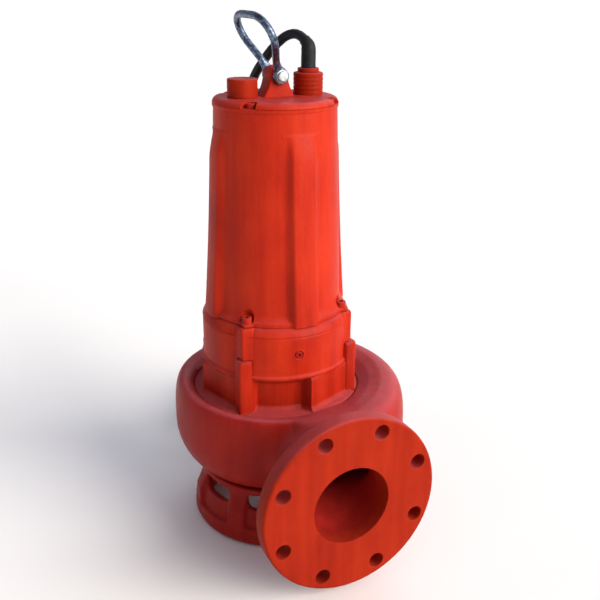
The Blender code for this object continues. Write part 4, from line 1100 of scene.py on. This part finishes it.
def turned_boss(name, profile, x, sides, stands_for):
    """A boss turned about an upright axis at the given x, from rows of (radius, height)."""
    shell = spun(profile, round_turns(sides), (x, 0.0, 0.0))
    made(name, [shell], turned_red, (stands_for,), sharp=50.0)


cap_line = eased_profile([(ENTRY_R - 0.0008, COVER_TOP - 0.0004), (ENTRY_R, COVER_TOP + 0.0010),
                          (ENTRY_R, BLIND_CAP_TOP), (ENTRY_R - 0.0030, BLIND_CAP_TOP),
                          (0.0130, BLIND_CAP_TOP - 0.0002), (0.0030, BLIND_CAP_TOP - 0.0004)], 0.0022)
# The blind cap takes the darker enamel of turned iron partly as painted shade, the shade that the lug and the
# gland cast on it.
turned_boss("blind_cap_turned", cap_line, BLIND_CAP_X, 72, "blind_cap")
heights = np.linspace(COVER_TOP - 0.0004, GLAND_TOP, 110)
grooves = sum(np.exp(-((heights - COVER_TOP - GROOVE_STEP * i) / 0.0010) ** 2) for i in range(1, 5))
sine, cosine = quarter(6)
gland_line = np.concatenate([
    np.stack([ENTRY_R - GROOVE_DEPTH * grooves, heights], -1)[:-8],
    np.stack([ENTRY_R - GLAND_EDGE * (1 - cosine), GLAND_TOP - GLAND_EDGE * (1 - sine)], -1),
    [(0.0135, GLAND_TOP), (COLLAR_R, GLAND_TOP)]])
turned_boss("cable_gland_turned", gland_line, GLAND_X, 72, "cable_gland")
collar_line = eased_profile([(0.0122, GLAND_TOP - 0.0004), (COLLAR_R, GLAND_TOP + 0.0006),
                             (COLLAR_R, SLEEVE_ROOT), (0.0098, SLEEVE_ROOT),
                             (0.0092, SLEEVE_ROOT - 0.0015), (0.0060, SLEEVE_ROOT - 0.0015)], 0.0010)
turned_boss("gland_collar_turned", collar_line, GLAND_X, 64, "gland_collar")


# Lifting lug
# A solid cast lug in the middle of the lid with a spread foot, bored across for the bail's
# bolt, and the bolt and nut of zinc-plated steel.
PIVOT_HEIGHT = 0.5860
LUG_HALF = 0.012
LUG_HEAD_R = 0.0112
LUG_SPREAD = 0.0088
LUG_EDGE = 0.0018
BOLT_R = 0.0040
BOLT_END = 0.0262
BOLT_HEAD_ACROSS = 0.0116
WASHER_R = 0.0074
NUT_ACROSS = 0.0120


def lug_grid():
    """The lug's outline in the XZ plane, carried from one side to the other and drawn in at each end so that
    its edges are eased. The outline is a spread foot below a round head."""
    arc = np.linspace(0.0, np.pi, 33)
    head = np.stack([LUG_HEAD_R * np.cos(arc), PIVOT_HEIGHT + 0.0110 * np.sin(arc)], -1)
    rise = np.linspace(0.0, 1.0, 14)[:-1]
    width = LUG_HEAD_R + LUG_SPREAD * (1.0 - rise) ** 1.7
    right = np.stack([width, COVER_TOP - 0.0004 + (PIVOT_HEIGHT - COVER_TOP) * rise], -1)
    outline = np.concatenate([right, head, right[::-1] * (-1.0, 1.0)])
    middle = np.array([0.0, COVER_TOP + 0.008])
    in_foot = outline[:, 1] < COVER_TOP + 0.001
    near, far = [], []
    for s, c in zip(*quarter(5)):
        drawn = outline + (middle - outline) * 0.10 * (1 - s)
        drawn[:, 1] = np.where(in_foot, outline[:, 1], drawn[:, 1])
        y = LUG_HALF - LUG_EDGE * (1 - c) + 0 * drawn[:, 0]
        near.append(np.stack([drawn[:, 0], -y, drawn[:, 1]], -1))
        far.append(np.stack([drawn[:, 0], y, drawn[:, 1]], -1))
    return np.array(near + far[::-1])


def metal(name, grain, stops, rough, relief=(0.0, 0.0), stretch=None, **values):
    """Bare or plated metal: one grain gives its tone, its roughness between two values, and its relief as a
    strength and a depth. Where the grain is stretched, it stands for a tool's marks."""
    material, tree, shader, spot = new_finish(name, **values)
    if stretch:
        spot = add(tree, "Mapping", {"Vector": spot, "Scale": stretch})
    pattern = add(tree, "TexNoise", {"Vector": spot, **grain})
    wire(tree, shader, {
        "Base Color": add(tree, "ValToRGB", {"Fac": pattern}, stops),
        "Roughness": add(tree, "MapRange", {"Value": pattern, "To Min": rough[0], "To Max": rough[1]}),
    })
    if relief[0]:
        bump = add(tree, "Bump", {"Height": pattern, "Strength": relief[0], "Distance": relief[1]})
        wire(tree, shader, {"Normal": bump})
    return material


def hex_head(across, start, stop):
    """A hexagon along Y between two places, its corners cut back to a cone at both ends as when forged. The
    cones are shares of the length and, there, the corners' radius as a share of the width."""
    turns = round_turns(60)
    cones = ((0.0, 0.36), (0.04, 0.44), (0.14, 0.51), (0.30, 0.58), (0.84, 0.58), (0.94, 0.54), (1.0, 0.48))
    six = hexagon(turns, across)
    rows = []
    for share, cone in cones:
        rows.append((np.minimum(six, across * cone), start + (stop - start) * share))
    return spun(rows, turns, (0.0, 0.0, PIVOT_HEIGHT), "y")


def turned_on_pivot(corners, ease, sides):
    """A profile of (radius, place along Y) with eased corners, turned about the bail's pivot."""
    return spun(eased_profile(corners, ease), round_turns(sides), (0.0, 0.0, PIVOT_HEIGHT), "y")


made("lifting_lug_casting", [closed_grid(lug_grid())], motor_red, ("lifting_lug",), sharp=55.0)

# Zinc plate is bright blue-white with a fine mottled bloom, about 4 mm across.
zinc = metal("bright_zinc_plate", {"Scale": 260.0, "Detail": 5.0, "Roughness": 0.6},
             [(0.30, "#8d949b"), (0.55, "#b4babd"), (0.8, "#dcdcd6")],
             rough=(0.34, 0.56), relief=(0.12, 0.0005), Metallic=1.0)
pin = turned_on_pivot([(BOLT_R - 0.0010, -0.0200), (BOLT_R, -0.0195), (BOLT_R, BOLT_END - 0.0006),
                       (BOLT_R - 0.0006, BOLT_END), (0.0005, BOLT_END)], 0.0006, 32)
washer = turned_on_pivot([(BOLT_R + 0.0001, -0.0196), (WASHER_R, -0.0196), (WASHER_R, -0.0184),
                          (BOLT_R + 0.0001, -0.0184)], 0.0003, 48)
bolt_head = hex_head(BOLT_HEAD_ACROSS, -0.0240, -0.0198)
made("bail_bolt_plated", [pin, bolt_head, washer], zinc, ("bail_bolt",), sharp=35.0)
made("bail_nut_plated", [hex_head(NUT_ACROSS, 0.0187, 0.0250)], zinc, ("bail_nut",), sharp=35.0)


# Lifting bail
# A round steel bar bent hot to a loop, its ends forged flat and drilled for the bolt, then
# hot-dip galvanised, with a spangle of 2.5 mm and duller patches of 20 mm. Its dark blue-grey tone is
# partly painted reflection of dark, bluish surroundings.
BAIL_LEAN = math.radians(27.0)
BAIL_ROD_R = 0.0043
EYE_R = 0.0095
EYE_HOLE_R = 0.0045
EYE_THICK = 0.0055
EYE_Y = LUG_HALF + 0.0008 + EYE_THICK / 2
FORGED_BELOW = 0.020
FORGED_OVER = 0.014
FORGED_SPREAD = 0.0018
# One side of the loop, from the eye to the middle of the top: way from the middle, way from the pivot.
BAIL_KNOTS = [(EYE_Y, 0.0), (EYE_Y + 0.001, 0.011), (0.022, 0.020), (0.0345, 0.033), (0.0455, 0.046),
              (0.0460, 0.0595), (0.0388, 0.0708), (0.0226, 0.0769), (0.0, 0.0760)]

galvanised, tree, shader, spot = new_finish("hot_dip_galvanised_bar", Metallic=1.0)
spangle = add(tree, "TexVoronoi", {"Vector": spot, "Scale": 400.0}).outputs["Color"]
patches = add(tree, "TexNoise", {"Vector": spot, "Scale": 48.0, "Detail": 3.0, "Roughness": 0.5})
both = add(tree, "Math", {0: spangle, 1: patches}, operation="ADD")
half = add(tree, "Math", {0: both, 1: 0.5}, operation="MULTIPLY")
wire(tree, shader, {
    # Painted reflection: the dark blue-grey stops darken the bar as dark, bluish surroundings would.
    "Base Color": add(tree, "ValToRGB", {"Fac": half},
                      [(0.24, "#2e3641"), (0.50, "#56647a"), (0.78, "#8999b1")]),
    "Roughness": add(tree, "MapRange", {"Value": patches, "From Min": 0.3, "From Max": 0.7,
                                        "To Min": 0.28, "To Max": 0.5}),
    "Normal": add(tree, "Bump", {"Height": patches, "Strength": 0.25, "Distance": 0.0008}),
})


def spline(controls, count):
    """A uniform cubic B-spline that starts and ends at its first and last control point."""
    c = np.concatenate([[controls[0]] * 2, controls, [controls[-1]] * 2])
    t = np.linspace(0.0, 1.0, count, endpoint=False)[None, :, None]
    p0, p1, p2, p3 = (c[i:len(c) - 3 + i, None] for i in range(4))
    rising, falling = 3 * t ** 3 - 6 * t ** 2 + 4, -3 * t ** 3 + 3 * t ** 2 + 3 * t + 1
    points = ((1 - t) ** 3 * p0 + rising * p1 + falling * p2 + t ** 3 * p3) / 6
    return np.concatenate([points.reshape(-1, 2), [controls[-1]]])


def bail_shells():
    """The bar carried along its loop, flattened towards each end, and an eased disc for each eye."""
    side = np.array(BAIL_KNOTS) * (-1.0, 1.0)
    flat = spline(np.concatenate([side, side[::-1][1:] * (-1.0, 1.0)]), 8)
    flat = flat[np.concatenate([[True], np.linalg.norm(np.diff(flat, axis=0), axis=1) > 1e-5])]
    reach = flat[:, 1]
    sine, cosine = math.sin(BAIL_LEAN), math.cos(BAIL_LEAN)
    loop = np.stack([-reach * sine, flat[:, 0], PIVOT_HEIGHT + reach * cosine], -1)
    tangents = np.gradient(loop, axis=0)
    tangents /= np.linalg.norm(tangents, axis=1)[:, None]
    away = np.array([cosine, 0.0, sine])
    across = np.cross(tangents, away)
    forged = eased((FORGED_BELOW - reach) / FORGED_OVER)[:, None]
    turns = round_turns(20)
    wide = (BAIL_ROD_R + FORGED_SPREAD * forged) * np.cos(turns)
    thin = (BAIL_ROD_R - (BAIL_ROD_R - EYE_THICK / 2 + 0.0002) * forged) * np.sin(turns)
    shells = [closed_grid(loop[:, None] + away * wide[..., None] + across[:, None] * thin[..., None])]
    edge = EYE_THICK / 2
    eye = eased_profile([(EYE_HOLE_R, -edge), (EYE_R, -edge), (EYE_R, edge), (EYE_HOLE_R, edge),
                         (EYE_HOLE_R - 0.0003, edge - 0.0004)], 0.0012)
    return shells + [spun(eye, round_turns(48), (0.0, y, PIVOT_HEIGHT), "y") for y in (-EYE_Y, EYE_Y)]


made("lifting_bail_bar", bail_shells(), galvanised, ("bail",), body="bail", sharp=50.0)


# Inner parts and stand bolts
# What shows through the outlet and from below: the open impeller of dark iron, its nut, the
# shaft, the bronze wear ring and the four bolts under the stand's plate.
PLATE_BOLT_R = 0.082
PLATE_BOLT_ACROSS = 0.0130
# Bare iron has a coarse brown skin of 8 mm grains, and steel fine turning marks 0.7 mm apart.
iron = metal("bare_grey_cast_iron", {"Scale": 120.0, "Detail": 8.0, "Roughness": 0.7},
             [(0.35, "#1d1917"), (0.55, "#36302c"), (0.75, "#5b3c2a")],
             rough=(0.5, 0.9), relief=(0.4, 0.001), Metallic=0.4)
steel = metal("turned_stainless_steel", {"Scale": 1.0, "Detail": 3.0}, [(0.3, "#8f9397"), (0.7, "#c8ccd0")],
              rough=(0.2, 0.45), stretch=(30.0, 30.0, 1500.0), Metallic=1.0)
bronze = metal("cast_bronze_ring", {"Scale": 60.0, "Detail": 5.0}, [(0.3, "#6e4a22"), (0.7, "#b98a4a")],
               rough=(0.3, 0.6), Metallic=1.0)
inner_metals = {"impeller": iron, "impeller_nut": steel, "pump_shaft": steel, "wear_ring": bronze}
for name, chosen in inner_metals.items():
    for holder in bpy.data.objects[name].material_slots:
        holder.material = chosen
turns = round_turns(48)
six = hexagon(turns, PLATE_BOLT_ACROSS)
rows = [(six, 0.0), (six, -0.0042), (np.minimum(six, 0.0066), -0.0054), (0.0030, -0.0055)]
for i in range(4):
    turn = np.pi / 2 * i
    at = (PLATE_BOLT_R * math.sin(turn), -PLATE_BOLT_R * math.cos(turn), PLATE_TOP - PLATE_THICK)
    made(f"plate_bolt_{i + 1}", [spun(rows, turns, at)], steel,
         (f"stand_bolt_{i + 1}",), sharp=35.0)


# Floor and light
# A pale matt floor out to the horizon, a broad soft lamp from the right, a weaker one from behind
# whose sheen lies on the casing's shoulders, and a white surround, brightest low down.
FLOOR_HALF = 40.0
floor_finish, tree, shader, spot = new_finish("pale_matt_floor", Roughness=0.9, Specular_IOR_Level=0.1)
paper = add(tree, "TexNoise", {"Vector": spot, "Scale": 3.0, "Detail": 2.0})
tone = add(tree, "ValToRGB", {"Fac": paper}, [(0.3, "#f8f8f8"), (0.7, "#fbfbfb")])
wire(tree, shader, {"Base Color": tone})
floor_mesh = bpy.data.meshes.new("floor")
corners = [(x * FLOOR_HALF, y * FLOOR_HALF, -0.0002) for x, y in ((-1, -1), (1, -1), (1, 1), (-1, 1))]
floor_mesh.from_pydata(corners, [], [(0, 1, 2, 3)])
floor_mesh.materials.append(floor_finish)
floor = bpy.data.objects.new("floor", floor_mesh)
bpy.context.scene.collection.objects.link(floor)

surround = bpy.data.worlds.new("white_surround")
surround.use_nodes = True
tree = surround.node_tree
height = add(tree, "SeparateXYZ", {"Vector": add(tree, "TexCoord", {}).outputs["Generated"]}).outputs["Z"]
glow = add(tree, "MapRange", {"Value": height, "From Min": 0.02, "From Max": 0.38,
                              "To Min": 0.50, "To Max": 0.40}, interpolation_type="SMOOTHSTEP")
wire(tree, tree.nodes["Background"], {"Color": srgb("#f0f3ff"), "Strength": glow})
bpy.context.scene.world = surround
bpy.context.scene.view_settings.view_transform = "Standard"


def far_lamp(name, turn, up, strength, angle, colour):
    """A soft lamp so far off that its light is parallel; turn is from the camera's side, to the right."""
    light = bpy.data.lights.new(name, "SUN")
    light.energy, light.angle, light.color = strength, math.radians(angle), srgb(colour)[:3]
    holder = bpy.data.objects.new(name, light)
    toward = CAMERA_TURN + math.radians(turn)
    way = Vector((math.sin(toward), -math.cos(toward), math.tan(math.radians(up))))
    holder.rotation_mode = "QUATERNION"
    holder.rotation_quaternion = way.to_track_quat("Z", "Y")
    bpy.context.scene.collection.objects.link(holder)


far_lamp("key_lamp", turn=60.0, up=22.0, strength=5.0, angle=50.0, colour="#fff6ea")
far_lamp("back_lamp", turn=150.0, up=34.0, strength=1.0, angle=60.0, colour="#f4f6ff")
